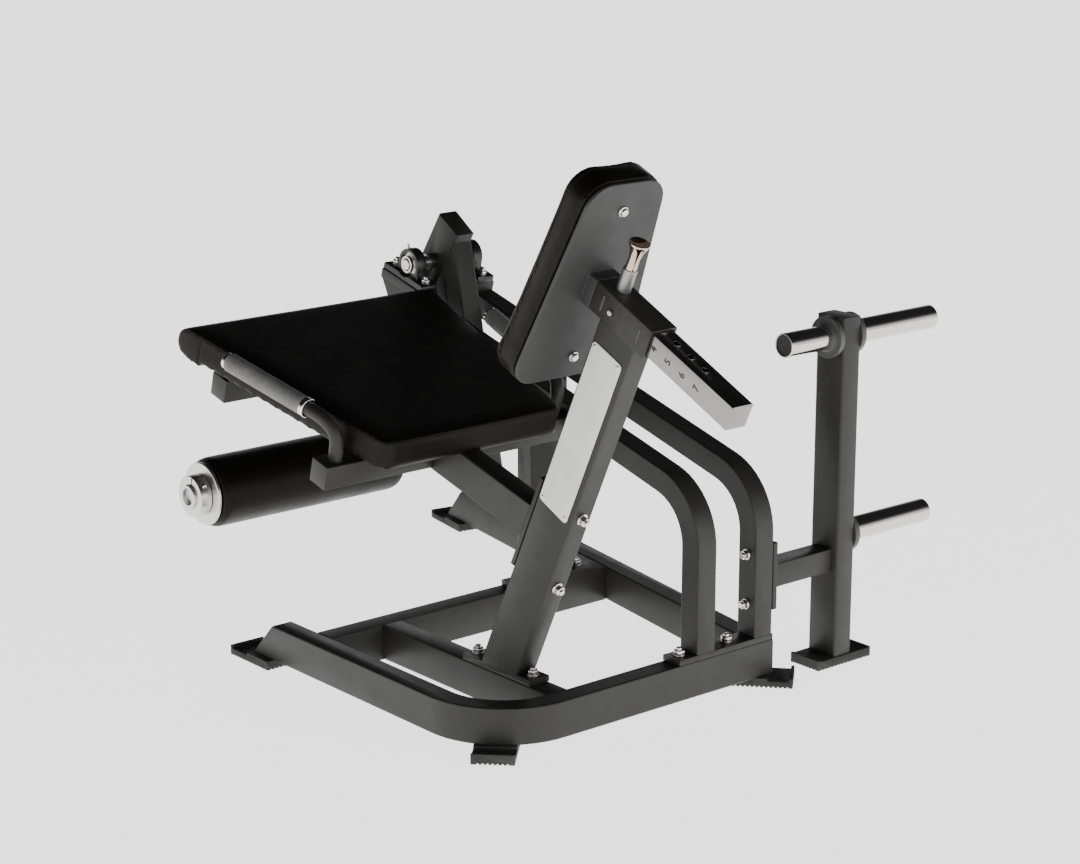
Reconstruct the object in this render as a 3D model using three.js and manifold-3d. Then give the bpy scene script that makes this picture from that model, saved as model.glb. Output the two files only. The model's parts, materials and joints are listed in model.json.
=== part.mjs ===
// Plate-loaded leg extension machine.
// Frame: millimetres, +Z up, the user faces -Y and their left hand is on +X.
// The final group is moved so that the origin is the bottom centre of the whole machine.
import * as THREE from 'three';
import { mergeVertices } from 'three/addons/utils/BufferGeometryUtils.js';
import Module from 'manifold-3d';

const wasm = await Module();
wasm.setup();

// ---------------------------------------------------------------- driving dimensions
const RAIL_W = 50;            // all base and frame tubes are 50 mm wide
const RAIL_H = 75;            // base rail height
const WALL = 3.5;             // tube wall
const FLOOR = 6;              // floor level in working coordinates
const RAIL_Z0 = 25;           // underside of the base rails
const RAIL_Z1 = RAIL_Z0 + RAIL_H;
const LEFT_X = 203;           // outer face of the left rail
const REAR_Y = 253;           // outer face of the rear rail
const CORNER_R = 180;         // outer bend radius of the rear left corner
const LEFT_FRONT_Y = -533;    // lower front end of the left rail
const MITRE = 71;             // length of the sloped rail ends
const RIGHT_X = -531;         // rear right corner of the base
const SPLAY = 0.183;          // right rail runs outward this much per unit of length
const RIGHT_LEN = 1288;       // length of the right rail's inner face line
const CROSS_Y0 = -371;        // front face of the cross rail
const PLATE_T = 12;           // foot plates of the uprights
const PLATE_TOP = RAIL_Z1 + PLATE_T;

const SEAT_TILT = 15 * Math.PI / 180;   // seat and main beam rise to the front
const SEAT_O = [0, -200, 621.5];        // a point of the seat's top plane
const SEAT_T = 60;                      // pad thickness
const SEAT_REAR = 174;                  // pad rear edge, along the slope
const SEAT_FRONT = -418;                // pad front edge, along the slope
const SEAT_HALF_REAR = 221.5;           // half widths
const SEAT_HALF_FRONT = 317.5;
const BEAM_H = 75;

const BAR_TILT = 25 * Math.PI / 180;    // sliding bar falls to the rear, post leans the same way
const BAR_O = [0, 0, 1054.8];           // a point of the bar's axis
const POST_S0 = 398.5, POST_D = 100;    // post front face and depth, along the bar
const SLEEVE = 60, SLEEVE_S0 = 371, SLEEVE_S1 = 531;
const BAR = 49, BAR_S0 = 346.2, BAR_S1 = 754;
const HOLE_S0 = 408, HOLE_PITCH = 40, HOLE_N = 7, HOLE_R = 7;
const BACK_S = 345.7;                   // rear face of the back plate
const CUSHION_T = 66;

const PIVOT = [-694.3, 752.6];          // swing arm pivot, y and z
const SHAFT_R = 12.5;                   // pivot shaft
const TUBE_NEAR_X = -344.5, TUBE_FAR_X = -501.5, ARM_X = -423;
const TUBE_C = 490.7;                   // top line of the bent tubes: y sin15 + z cos15
const TUBE_R = 150;                     // outer bend radius
const ARM_FRONT_LEAN = 33.3 * Math.PI / 180;
const ARM_FRONT_W = 75;
const ROLLER = [-632, 354];             // roller axis, y and z
const ROLLER_R = 76.5;
const ROLLER_X0 = -224, ROLLER_X1 = 248;

const STORE_X = -721.5, STORE_Y = 228.5;

// ---------------------------------------------------------------- materials
const steel = (hex = 0x3a3937) => new THREE.MeshStandardMaterial({ color: hex, roughness: 0.55, metalness: 0.35 });
const FRAME = 0x3a3937, DARK = 0x2b2b2a;
const vinyl = () => new THREE.MeshStandardMaterial({ color: 0x171513, roughness: 0.5, metalness: 0 });
const rubber = (hex = 0x2e2e2d) => new THREE.MeshStandardMaterial({ color: hex, roughness: 0.8, metalness: 0 });
const chrome = (hex = 0xd8d6d2, r = 0.18) => new THREE.MeshStandardMaterial({ color: hex, roughness: r, metalness: 1 });

// ---------------------------------------------------------------- geometry helpers
const toSolid = (geometry) => {
  const g = geometry.clone();
  g.deleteAttribute('normal');
  g.deleteAttribute('uv');
  const m = mergeVertices(g, 1e-4);
  return new wasm.Manifold(new wasm.Mesh({
    numProp: 3,
    vertProperties: new Float32Array(m.attributes.position.array),
    triVerts: new Uint32Array(m.index.array),
  }));
};
const fromSolid = (solid) => {
  const m = solid.getMesh();
  const g = new THREE.BufferGeometry();
  g.setAttribute('position', new THREE.BufferAttribute(new Float32Array(m.vertProperties), 3));
  g.setIndex(new THREE.BufferAttribute(new Uint32Array(m.triVerts), 1));
  g.computeVertexNormals();
  return g;
};
const cut = (a, ...bs) => fromSolid(bs.reduce((s, b) => s.subtract(toSolid(b)), toSolid(a)));
const join = (a, ...bs) => fromSolid(bs.reduce((s, b) => s.add(toSolid(b)), toSolid(a)));
const meet = (a, b) => fromSolid(toSolid(a).intersect(toSolid(b)));

const poly = (pts) => new THREE.Shape(pts.map(([x, y]) => new THREE.Vector2(x, y)));
const arcPts = (cx, cy, r, a0, a1, n) => Array.from({ length: n + 1 }, (_, i) => {
  const a = a0 + (a1 - a0) * i / n;
  return [cx + r * Math.cos(a), cy + r * Math.sin(a)];
});
// closed outline with rounded corners: pts = [x, y, radius]
const rounded = (pts, seg = 4) => {
  const out = [];
  const n = pts.length;
  for (let i = 0; i < n; i++) {
    const [x, y, r = 0] = pts[i];
    if (r <= 0) { out.push([x, y]); continue; }
    const a = pts[(i + n - 1) % n], b = pts[(i + 1) % n];
    const u = new THREE.Vector2(a[0] - x, a[1] - y).normalize();
    const v = new THREE.Vector2(b[0] - x, b[1] - y).normalize();
    const half = Math.acos(Math.max(-1, Math.min(1, u.dot(v)))) / 2;
    const t = r / Math.tan(half);
    const bis = u.clone().add(v).normalize();
    const c = new THREE.Vector2(x, y).addScaledVector(bis, r / Math.sin(half));
    const p = new THREE.Vector2(x, y).addScaledVector(u, t).sub(c);
    const q = new THREE.Vector2(x, y).addScaledVector(v, t).sub(c);
    const a0 = Math.atan2(p.y, p.x);
    let d = Math.atan2(q.y, q.x) - a0;
    while (d > Math.PI) d -= 2 * Math.PI;
    while (d < -Math.PI) d += 2 * Math.PI;
    for (let k = 0; k <= seg; k++) out.push([c.x + r * Math.cos(a0 + d * k / seg), c.y + r * Math.sin(a0 + d * k / seg)]);
  }
  return out;
};
const rectPts = (w, h, r = 0) => rounded([[-w / 2, -h / 2, r], [w / 2, -h / 2, r], [w / 2, h / 2, r], [-w / 2, h / 2, r]]);
const circlePts = (r, n = 32) => arcPts(0, 0, r, 0, 2 * Math.PI * (n - 1) / n, n - 1);
// solid of an outline, drawn in x and y, between z0 and z1
const slab = (pts, z0, z1, bevel = 0, holes = [], seg = 2) => {
  const s = poly(pts);
  for (const h of holes) s.holes.push(new THREE.Path(h.map(([x, y]) => new THREE.Vector2(x, y))));
  const g = new THREE.ExtrudeGeometry(s, bevel > 0
    ? { depth: z1 - z0 - 2 * bevel, bevelEnabled: true, bevelThickness: bevel, bevelSize: bevel, bevelOffset: -bevel, bevelSegments: seg, curveSegments: 8 }
    : { depth: z1 - z0, bevelEnabled: false, curveSegments: 8 });
  g.translate(0, 0, z0 + bevel);
  return g;
};
const YZX = new THREE.Matrix4().makeBasis(new THREE.Vector3(0, 1, 0), new THREE.Vector3(0, 0, 1), new THREE.Vector3(1, 0, 0));
// the same with the outline drawn in y and z, between x0 and x1
const side = (pts, x0, x1, bevel = 0, holes = [], seg = 2) => slab(pts, x0, x1, bevel, holes, seg).applyMatrix4(YZX);
const ZXY = new THREE.Matrix4().makeBasis(new THREE.Vector3(0, 0, 1), new THREE.Vector3(1, 0, 0), new THREE.Vector3(0, 1, 0));
// the same with the outline drawn in z and x, between y0 and y1
const along = (pts, y0, y1, holes = []) => slab(pts, y0, y1, 0, holes).applyMatrix4(ZXY);
const box = (x0, x1, y0, y1, z0, z1) => {
  const g = new THREE.BoxGeometry(x1 - x0, y1 - y0, z1 - z0);
  g.translate((x0 + x1) / 2, (y0 + y1) / 2, (z0 + z1) / 2);
  return g;
};
const rodX = (r, x0, x1, y, z, n = 32) => {
  const g = new THREE.CylinderGeometry(r, r, x1 - x0, n);
  g.rotateZ(-Math.PI / 2);
  g.translate((x0 + x1) / 2, y, z);
  return g;
};
const rodY = (r, y0, y1, x, z, n = 32) => {
  const g = new THREE.CylinderGeometry(r, r, y1 - y0, n);
  g.translate(x, (y0 + y1) / 2, z);
  return g;
};
const rodZ = (r, z0, z1, x, y, n = 32) => {
  const g = new THREE.CylinderGeometry(r, r, z1 - z0, n);
  g.rotateX(Math.PI / 2);
  g.translate(x, y, (z0 + z1) / 2);
  return g;
};
// turned piece about the X axis: profile = [radius, x]
const turnX = (profile, n = 32) => {
  const g = new THREE.LatheGeometry(profile.map(([r, x]) => new THREE.Vector2(r, x)), n);
  g.rotateZ(-Math.PI / 2);
  return g;
};
// turned piece about the Z axis: profile = [radius, z]
const turnZ = (profile, n = 32) => {
  const g = new THREE.LatheGeometry(profile.map(([r, z]) => new THREE.Vector2(r, z)), n);
  g.rotateX(Math.PI / 2);
  return g;
};

const machine = new THREE.Group();
const seatGroup = new THREE.Group();
seatGroup.position.set(...SEAT_O);
seatGroup.rotation.x = -SEAT_TILT;
machine.add(seatGroup);
const barGroup = new THREE.Group();
barGroup.position.set(...BAR_O);
barGroup.rotation.x = -BAR_TILT;
machine.add(barGroup);
const pivotGroup = new THREE.Group();
pivotGroup.position.set(0, PIVOT[0], PIVOT[1]);
pivotGroup.rotation.x = -SEAT_TILT;
machine.add(pivotGroup);

const add = (name, geometry, material, parent = machine) => {
  const mesh = new THREE.Mesh(geometry, material);
  mesh.name = name;
  parent.add(mesh);
  return mesh;
};
// points of the turned frames in the working y-z plane
const sf = (s, n) => [SEAT_O[1] + s * Math.cos(SEAT_TILT) + n * Math.sin(SEAT_TILT), SEAT_O[2] - s * Math.sin(SEAT_TILT) + n * Math.cos(SEAT_TILT)];
const bf = (s, n) => [BAR_O[1] + s * Math.cos(BAR_TILT) + n * Math.sin(BAR_TILT), BAR_O[2] - s * Math.sin(BAR_TILT) + n * Math.cos(BAR_TILT)];
// where the line p + t d meets the line q + u e
const crossing = ([px, py], [dx, dy], [qx, qy], [ex, ey]) => {
  const t = ((qx - px) * ey - (qy - py) * ex) / (dx * ey - dy * ex);
  return [px + t * dx, py + t * dy];
};
const SEAT_DIR = [Math.cos(SEAT_TILT), -Math.sin(SEAT_TILT)];
const POST_DIR = [Math.sin(BAR_TILT), Math.cos(BAR_TILT)];

// ---------------------------------------------------------------- base
// Left rail, rounded corner and rear rail: one bent 50 x 75 tube, closed at its sloped front end
// and open at the mitred rear right corner, where the right rail is welded on.
const cornerIn = [RIGHT_X + RAIL_W * Math.hypot(1, SPLAY) - SPLAY * RAIL_W, REAR_Y - RAIL_W];
{
  const c = [LEFT_X - CORNER_R, REAR_Y - CORNER_R];
  const plan = (off, ext) => {
    const ro = CORNER_R - off, ri = CORNER_R - RAIL_W + off;
    const a = [RIGHT_X - ext + off * 0.9, REAR_Y - off], b = [cornerIn[0] - ext - off * 0.9, REAR_Y - RAIL_W + off];
    return [
      [LEFT_X - off, LEFT_FRONT_Y - 20],
      ...arcPts(c[0], c[1], ro, 0, Math.PI / 2, 14),
      a, b,
      ...arcPts(c[0], c[1], ri, Math.PI / 2, 0, 14),
      [LEFT_X - RAIL_W + off, LEFT_FRONT_Y - 20],
    ];
  };
  const wedge = (shift) => side([[-800, 0], [LEFT_FRONT_Y - 25 * MITRE / RAIL_H + shift, 0], [LEFT_FRONT_Y + 100 * MITRE / RAIL_H + shift, 125], [-800, 125]], LEFT_X - 80, LEFT_X + 30);
  const outer = cut(slab(plan(0, 0), RAIL_Z0, RAIL_Z1, 4), wedge(0));
  const inner = cut(slab(plan(WALL, 60), RAIL_Z0 + WALL, RAIL_Z1 - WALL), wedge(8));
  add('base_side_rail', cut(outer, inner), steel(FRAME));
}
const splayAngle = Math.atan(SPLAY);
{
  // local: y runs forward along the inner face, x to the right of the machine
  const m = new THREE.Matrix4().makeBasis(
    new THREE.Vector3(-Math.cos(splayAngle), Math.sin(splayAngle), 0),
    new THREE.Vector3(-Math.sin(splayAngle), -Math.cos(splayAngle), 0),
    new THREE.Vector3(0, 0, 1));
  m.multiply(new THREE.Matrix4().makeScale(1, 1, 1));
  m.setPosition(cornerIn[0], cornerIn[1], 0);
  // the rear end follows the mitre line of the corner
  const inv = m.clone().invert();
  const oc = new THREE.Vector3(RIGHT_X, REAR_Y, 0).applyMatrix4(inv);
  const slope = oc.y / oc.x;
  const len = RIGHT_LEN;
  const outline = [[0, 0.5], [0, len], [RAIL_W, len], [RAIL_W, slope * RAIL_W + 0.5]];
  const flip = new THREE.Matrix4().makeBasis(new THREE.Vector3(1, 0, 0), new THREE.Vector3(0, 1, 0), new THREE.Vector3(0, 0, 1));
  const outer0 = slab(outline, RAIL_Z0, RAIL_Z1, 4);
  const wedge = (shift) => side([[len - 0 + 25 * MITRE / RAIL_H - shift, 0], [len + 400, 0], [len + 400, 125], [len - 100 * MITRE / RAIL_H - shift, 125]], -20, 80);
  const outer = cut(outer0.applyMatrix4(flip), wedge(0));
  const inner = cut(slab([[WALL, -60], [WALL, len + 1], [RAIL_W - WALL, len + 1], [RAIL_W - WALL, -80]], RAIL_Z0 + WALL, RAIL_Z1 - WALL), wedge(8));
  const g = cut(outer, inner);
  g.applyMatrix4(m);
  if (m.determinant() < 0) {
    const idx = g.index.array;
    for (let i = 0; i < idx.length; i += 3) { const t = idx[i]; idx[i] = idx[i + 1]; idx[i + 1] = t; }
    g.computeVertexNormals();
  }
  add('base_right_rail', g, steel(FRAME));
}
const rightInnerX = (y) => cornerIn[0] - SPLAY * (cornerIn[1] - y);
{
  const y0 = CROSS_Y0, y1 = CROSS_Y0 + RAIL_W, w = WALL;
  const x = LEFT_X - RAIL_W;
  const outer = slab([[x, y0], [x, y1], [rightInnerX(y1) + 0.5, y1], [rightInnerX(y0) + 0.5, y0]].reverse(), RAIL_Z0, RAIL_Z1, 0);
  const inner = box(rightInnerX(y0) - 40, x + 10, y0 + w, y1 - w, RAIL_Z0 + w, RAIL_Z1 - w);
  add('base_front_rail', cut(outer, inner), steel(FRAME));
}
add('base_centre_rail', along(
  rectPts(RAIL_H, RAIL_W, 5).map(([z, x]) => [z + (RAIL_Z0 + RAIL_Z1) / 2, x]),
  CROSS_Y0 + RAIL_W + 0.3, REAR_Y - RAIL_W - 0.3,
  [rectPts(RAIL_H - 2 * WALL, RAIL_W - 2 * WALL, 2).map(([z, x]) => [z + (RAIL_Z0 + RAIL_Z1) / 2, x])]), steel(FRAME));

// ---------------------------------------------------------------- rubber feet
// Each foot is a pad under the rail with a raised lip at the exposed ends.
const foot = (len, w, lip0, lip1) => {
  // outline in the length and height directions, centred on the length
  const h = RAIL_Z0 - FLOOR;
  const a = -len / 2, b = len / 2;
  const pts = [[a, 0], [b, 0]];
  if (lip1 > 0) pts.push([b, h + 1.5], [b - 7, h + 1.5], [b - 7, h - 5], [b - lip1, h - 5]); else pts.push([b, h - 0.0]);
  if (lip1 > 0) pts.push([b - lip1, h]);
  if (lip0 > 0) pts.push([a + lip0, h], [a + lip0, h - 5], [a + 7, h - 5], [a + 7, h + 1.5], [a, h + 1.5]); else pts.push([a, h]);
  const g = side(pts, -w / 2, w / 2);
  g.translate(0, 0, FLOOR);
  return g;
};
{
  const fl = foot(136, 80, 62, 0); fl.translate(LEFT_X - RAIL_W / 2, -530, 0);
  add('foot_front_left', fl, rubber());
  // right front foot follows the splayed rail
  const fr = foot(145, 84, 72, 0); fr.rotateZ(-splayAngle);
  const d = RIGHT_LEN - 20;
  fr.translate(cornerIn[0] - Math.sin(splayAngle) * d - 25 * Math.cos(splayAngle), cornerIn[1] - Math.cos(splayAngle) * d + 25 * Math.sin(splayAngle), 0);
  add('foot_front_right', fr, rubber());
  const rl = foot(140, 84, 0, 46); rl.rotateZ(-Math.PI / 4);
  rl.translate(LEFT_X - CORNER_R + 0.7071 * (CORNER_R + 48 - 70), REAR_Y - CORNER_R + 0.7071 * (CORNER_R + 48 - 70), 0);
  add('foot_rear_left', rl, rubber());
  const ra = Math.atan2(0.74, -0.67) - Math.PI / 2;
  const rr = foot(145, 84, 0, 52); rr.rotateZ(ra);
  rr.translate(-518, 225, 0);
  add('foot_rear_right', rr, rubber());
  const xs = STORE_X - 4.5;
  const st = foot(80, 154, 0, 0);
  st.translate(xs, STORE_Y, 0);
  const lip = (x) => box(x, x + 7, STORE_Y - 40, STORE_Y + 40, FLOOR + 10, RAIL_Z0 + 2);
  const lipped = join(st, lip(xs - 77), lip(xs + 70));
  add('foot_storage', lipped, rubber());
}

// washer, nut and bolt end on a foot plate
const anchor = (x, y) => join(rodZ(11.5, PLATE_TOP - 1, PLATE_TOP + 2.5, x, y, 24), rodZ(9.8, PLATE_TOP + 1, PLATE_TOP + 12, x, y, 6), rodZ(5.8, PLATE_TOP + 10, PLATE_TOP + 17, x, y, 16));

// ---------------------------------------------------------------- seat post, main beam and crossbeams
{
  const down = (s) => crossing(bf(s, 0), POST_DIR, [0, PLATE_TOP - 6], [1, 0]);
  const downIn = (s) => crossing(bf(s, 0), POST_DIR, [0, PLATE_TOP + 1], [1, 0]);
  const tube = side([down(POST_S0), down(POST_S0 + POST_D), bf(POST_S0 + POST_D, -SLEEVE / 2 - 0.3), bf(POST_S0, -SLEEVE / 2 - 0.3)], -RAIL_W / 2, RAIL_W / 2, 5);
  const cavity = side([downIn(POST_S0 + WALL), downIn(POST_S0 + POST_D - WALL), bf(POST_S0 + POST_D - WALL, 20), bf(POST_S0 + WALL, 20)], -RAIL_W / 2 + WALL, RAIL_W / 2 - WALL);
  const plate = box(-RAIL_W / 2, RAIL_W / 2, -56, 150, RAIL_Z1 + 0.2, PLATE_TOP);
  add('seat_post', join(cut(join(tube, plate), cavity), anchor(0, -38), anchor(0, 130)), steel(FRAME));
  // bolted flange that carries the main beam
  const flange = side([[389.4, -612], [398.1, -612], [398.1, -403], [389.4, -403]].map(([s, n]) => bf(s, n)), -RAIL_W / 2, RAIL_W / 2);
  const head = (n) => {
    const g = join(rodY(11.5, 387, 391, 0, n, 24), rodY(9.8, 378, 388, 0, n, 6));
    return g.rotateX(-BAR_TILT).translate(...BAR_O);
  };
  add('main_beam_flange', join(flange, head(-424), head(-592)), steel(FRAME));
  const rear = (n) => crossing(sf(0, n), SEAT_DIR, bf(389.1, 0), POST_DIR);
  const top = -SEAT_T - 0.6, bot = top - BEAM_H;
  const beam = side([sf(-345, bot), rear(bot), rear(top), sf(-345, top)], -RAIL_W / 2, RAIL_W / 2, 4);
  const far = (n) => crossing(sf(0, n), SEAT_DIR, bf(420, 0), POST_DIR);
  const hole = side([sf(-341, bot + WALL), far(bot + WALL), far(top - WALL), sf(-341, top - WALL)], -RAIL_W / 2 + WALL, RAIL_W / 2 - WALL);
  add('main_beam', cut(beam, hole), steel(FRAME));
}
const XB_REAR = -80, XB_FRONT = -85, XB_H = 49;
const crossbeam = (x0, x1, s0, riserAt, XB_TOP) => {
  const XB_BOT = XB_TOP - XB_H;
  // closed at the outer end, open where it is welded to the main beam; a riser carries the pad
  const left = x1 > 0;
  const outer = box(x0, x1, s0, s0 + 50, XB_BOT, XB_TOP);
  const inner = left ? box(x0 - 5, x1 - WALL, s0 + WALL, s0 + 50 - WALL, XB_BOT + WALL, XB_TOP - WALL)
    : box(x0 + WALL, x1 + 5, s0 + WALL, s0 + 50 - WALL, XB_BOT + WALL, XB_TOP - WALL);
  const riser = box(riserAt - 20, riserAt + 20, s0 + 5, s0 + 45, XB_TOP - 2, -SEAT_T - 0.5);
  return join(cut(outer, inner), riser);
};
add('crossbeam_rear_left', crossbeam(25.3, 287, 40, 150, XB_REAR), steel(FRAME), seatGroup);
add('crossbeam_rear_right', crossbeam(-319.2, -25.3, 40, -150, XB_REAR), steel(FRAME), seatGroup);
add('crossbeam_front_left', crossbeam(25.3, 264, -348, 200, XB_FRONT), steel(FRAME), seatGroup);
add('crossbeam_front_right', crossbeam(-264, -25.3, -348, -200, XB_FRONT), steel(FRAME), seatGroup);

// ---------------------------------------------------------------- seat pad
{
  const planA = rounded([
    [SEAT_HALF_FRONT, SEAT_FRONT, 0], [SEAT_HALF_REAR, SEAT_REAR, 34], [-SEAT_HALF_REAR, SEAT_REAR, 34], [-SEAT_HALF_FRONT, SEAT_FRONT, 0]], 6);
  const plan = slab(planA, -90, 20);
  const r = 34;
  const profile = [
    [SEAT_REAR - 6, -SEAT_T], [SEAT_REAR, -SEAT_T + 8], [SEAT_REAR, -8], [SEAT_REAR - 6, 0],
    ...arcPts(SEAT_FRONT + r, -r, r, Math.PI / 2, Math.PI, 8),
    ...arcPts(SEAT_FRONT + r, -r, r, Math.PI, Math.PI * 1.5, 6).slice(1),
    [-346, -68], [-346, -SEAT_T],
  ];
  add('seat_pad', meet(plan, side(profile, -SEAT_HALF_FRONT - 5, SEAT_HALF_FRONT + 5)), vinyl(), seatGroup);
}

// ---------------------------------------------------------------- handles
const handle = (sign, x0, tag) => {
  const k = 0.158;
  const len = Math.hypot(1, k);
  const dir = new THREE.Vector3(sign * k / len, -1 / len, 0);
  // upright, bend and the stub that the grip slides on; the upright stands inboard of the grip line
  const corner = new THREE.Vector3(sign * x0, 65, 0);
  const start = new THREE.Vector3(sign * (x0 - 9.5), 69, -44);
  const joint = corner.clone().addScaledVector(dir, 62);
  const bend = new THREE.CubicBezierCurve3(start, start.clone().add(new THREE.Vector3(sign * 2, 0, 30)), joint.clone().addScaledVector(dir, -40), joint);
  const pts = [new THREE.Vector3(sign * (x0 - 13), 68, XB_REAR - 8), start];
  for (let i = 1; i <= 11; i++) pts.push(bend.getPoint(i / 11));
  pts.push(corner.clone().addScaledVector(dir, 70.8));
  class Route extends THREE.Curve {
    getPoint(t, target = new THREE.Vector3()) {
      const f = Math.min(t, 1) * (pts.length - 1);
      const i = Math.min(Math.floor(f), pts.length - 2);
      return target.copy(pts[i]).lerp(pts[i + 1], f - i);
    }
    getPointAt(t, target) { return this.getPoint(t, target); }
    getTangentAt(t, target = new THREE.Vector3()) {
      const f = Math.min(t, 1) * (pts.length - 1);
      const i = Math.round(f);
      const a = pts[Math.max(0, i - 1)], b = pts[Math.min(pts.length - 1, i + 1)];
      return target.copy(b).sub(a).normalize();
    }
    getSpacedPoints(n) { return Array.from({ length: n + 1 }, (_, i) => this.getPoint(i / n)); }
  }
  const g = new THREE.ExtrudeGeometry(poly(circlePts(14, 20)), { steps: pts.length - 1, extrudePath: new Route(), bevelEnabled: false });
  add(`handle_${tag}`, cut(g, box(sign * x0 - 60, sign * x0 + 60, 30, 100, XB_REAR - 40, XB_REAR + 0.35)), steel(FRAME), seatGroup);
  const place = (mesh) => {
    const m = new THREE.Matrix4().makeBasis(
      dir.clone().negate(),
      new THREE.Vector3(0, 0, 1).cross(dir.clone().negate()),
      new THREE.Vector3(0, 0, 1));
    m.setPosition(corner);
    mesh.geometry.applyMatrix4(m);
  };
  // measured along the grip axis, forward is -x of the turned profile
  const core = turnX([[0, -307], [14, -307], [16.5, -304.5], [16.5, -296.3], [15, -296.3], [15, -81.7], [20, -81.7], [20, -72.7], [18.5, -71.2], [0, -71.2]]);
  place(add(`grip_core_${tag}`, core, chrome(), seatGroup));
  const sleeve = slab(circlePts(19.2, 28), -296, -82, 0, [circlePts(15.3, 28)]);
  sleeve.applyMatrix4(new THREE.Matrix4().makeBasis(new THREE.Vector3(0, 1, 0), new THREE.Vector3(0, 0, 1), new THREE.Vector3(1, 0, 0)));
  place(add(`grip_${tag}`, sleeve, rubber(0x5a5a59), seatGroup));
};
handle(1, 266, 'left');
handle(-1, 300, 'right');

// ---------------------------------------------------------------- bent tubes that carry the pivot
{
  const s15 = Math.sin(SEAT_TILT), c15 = Math.cos(SEAT_TILT);
  const yc = REAR_Y - TUBE_R;
  const zc = (TUBE_C - TUBE_R - s15 * yc) / c15;
  const topAt = (y, off = 0) => (TUBE_C - off - s15 * y) / c15;
  const profile = (off, zEnd, frontShift) => {
    const f0 = [-776 + frontShift, topAt(-776 + frontShift, off)];
    const f1 = [-747 + frontShift, topAt(-747 + frontShift, 50 - off)];
    return [
      [REAR_Y - off, zEnd],
      ...arcPts(yc, zc, TUBE_R - off, 0, Math.PI / 2 - SEAT_TILT, 12),
      f0, f1,
      ...arcPts(yc, zc, TUBE_R - 50 + off, Math.PI / 2 - SEAT_TILT, 0, 12),
      [REAR_Y - 50 + off, zEnd],
    ];
  };
  for (const [tag, x] of [['inner', TUBE_NEAR_X], ['outer', TUBE_FAR_X]]) {
    const outer = side(profile(0, PLATE_TOP, 0), x - 25, x + 25, 4);
    const inner = side(profile(WALL, PLATE_TOP - 20, 6), x - 25 + WALL, x + 25 - WALL);
    const riser = side([[-70, -58], [70, -58], [70, -36.8], [-70, -36.8]], x - 25, x + 25).rotateX(-SEAT_TILT).translate(0, PIVOT[0], PIVOT[1]);
    add(`bent_tube_${tag}`, cut(join(outer, riser), inner), steel(FRAME));
  }
}
add('bent_tube_plate', join(box(-529, -274, 203, 253, RAIL_Z1 + 0.2, PLATE_TOP - 0.3), anchor(-294, 228), anchor(-423, 228)), steel(FRAME));

// post between the bent tubes, on the cross rail
{
  const top = (y) => (TUBE_C - 10 - Math.sin(SEAT_TILT) * y) / Math.cos(SEAT_TILT);
  const y0 = CROSS_Y0, y1 = CROSS_Y0 + 50;
  const tube = side([[y0, PLATE_TOP - 6], [y1, PLATE_TOP - 6], [y1, top(y1)], [y0, top(y0)]], ARM_X - 50, ARM_X + 50, 4);
  const cavity = side([[y0 + WALL, PLATE_TOP + 1], [y1 - WALL, PLATE_TOP + 1], [y1 - WALL, 700], [y0 + WALL, 700]], ARM_X - 50 + WALL, ARM_X + 50 - WALL);
  const plate = box(ARM_X - 123, ARM_X + 93, y0, y1, RAIL_Z1 + 0.2, PLATE_TOP);
  const padL = box(ARM_X + 47, ARM_X + 53.2, y0 + 8, y1 - 8, 552, 582);
  const padR = box(ARM_X - 53.2, ARM_X - 47, y0 + 8, y1 - 8, 552, 582);
  add('support_post', join(cut(join(tube, plate, padL, padR), cavity), anchor(ARM_X - 96, y0 + 25), anchor(ARM_X + 74, y0 + 25)), steel(FRAME));
}
// rubber stop on a bracket, where the arm's rear leg rests
const ARM_REAR_SLOPE = 0.2185;
const rearFaceY = (z) => -616 - ARM_REAR_SLOPE * (z - 799.5);
{
  const z0 = 404, z1 = 452;
  add('arm_stop', side([[CROSS_Y0 - 0.3, z0], [CROSS_Y0 - 0.3, z1], [rearFaceY(z1) + 1.2, z1], [rearFaceY(z0) + 1.2, z0]], ARM_X - 20, ARM_X + 20), rubber(DARK));
}

// ---------------------------------------------------------------- pillow blocks and pivot shaft
const FOOT_TOP = -22;
for (const [tag, x] of [['inner', TUBE_NEAR_X], ['outer', TUBE_FAR_X]]) {
  const hole = circlePts(27.2, 36);
  const base = side([[-70, -36.4], [70, -36.4], [70, FOOT_TOP - 3], [67, FOOT_TOP], [-67, FOOT_TOP], [-70, FOOT_TOP - 3]], x - 22, x + 22);
  const house = side([[-41, FOOT_TOP - 2], [41, FOOT_TOP - 2], [34, -10], ...arcPts(0, 0, 34.5, -0.1, Math.PI + 0.1, 20), [-34, -10]], x - 12, x + 12);
  let g = cut(join(base, house), side(hole, x - 30, x + 30));
  // one screw in each end of the foot
  for (const s of [-53, 53]) g = join(g, rodZ(8.5, FOOT_TOP - 1, FOOT_TOP + 8, x, s, 6), rodZ(5, FOOT_TOP + 7, FOOT_TOP + 14, x, s, 16));
  add(`pillow_block_${tag}`, g, steel(DARK), pivotGroup);
  add(`bearing_insert_${tag}`, side(circlePts(26.8, 36), x - 17, x + 17, 1.2, [circlePts(SHAFT_R + 1.6, 36)], 1), chrome(0xc4c2bd, 0.3), pivotGroup);
}
{
  const r = SHAFT_R, x0 = TUBE_FAR_X - 19, x1 = TUBE_NEAR_X + 19;
  const b0 = ARM_X - 25.4, b1 = ARM_X + 25.4;
  const g = turnX([[0, x0], [r - 1.5, x0], [r, x0 + 1.5], [r, b0 - 17], [17, b0 - 17], [17, b0], [r, b0],
    [r, b1], [17, b1], [17, b1 + 17], [r, b1 + 17], [r, x1 - 1.5], [r - 1.5, x1], [0, x1]]);
  g.translate(0, PIVOT[0], PIVOT[1]);
  add('pivot_shaft', g, chrome(0xb9b6b0, 0.35));
}

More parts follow.
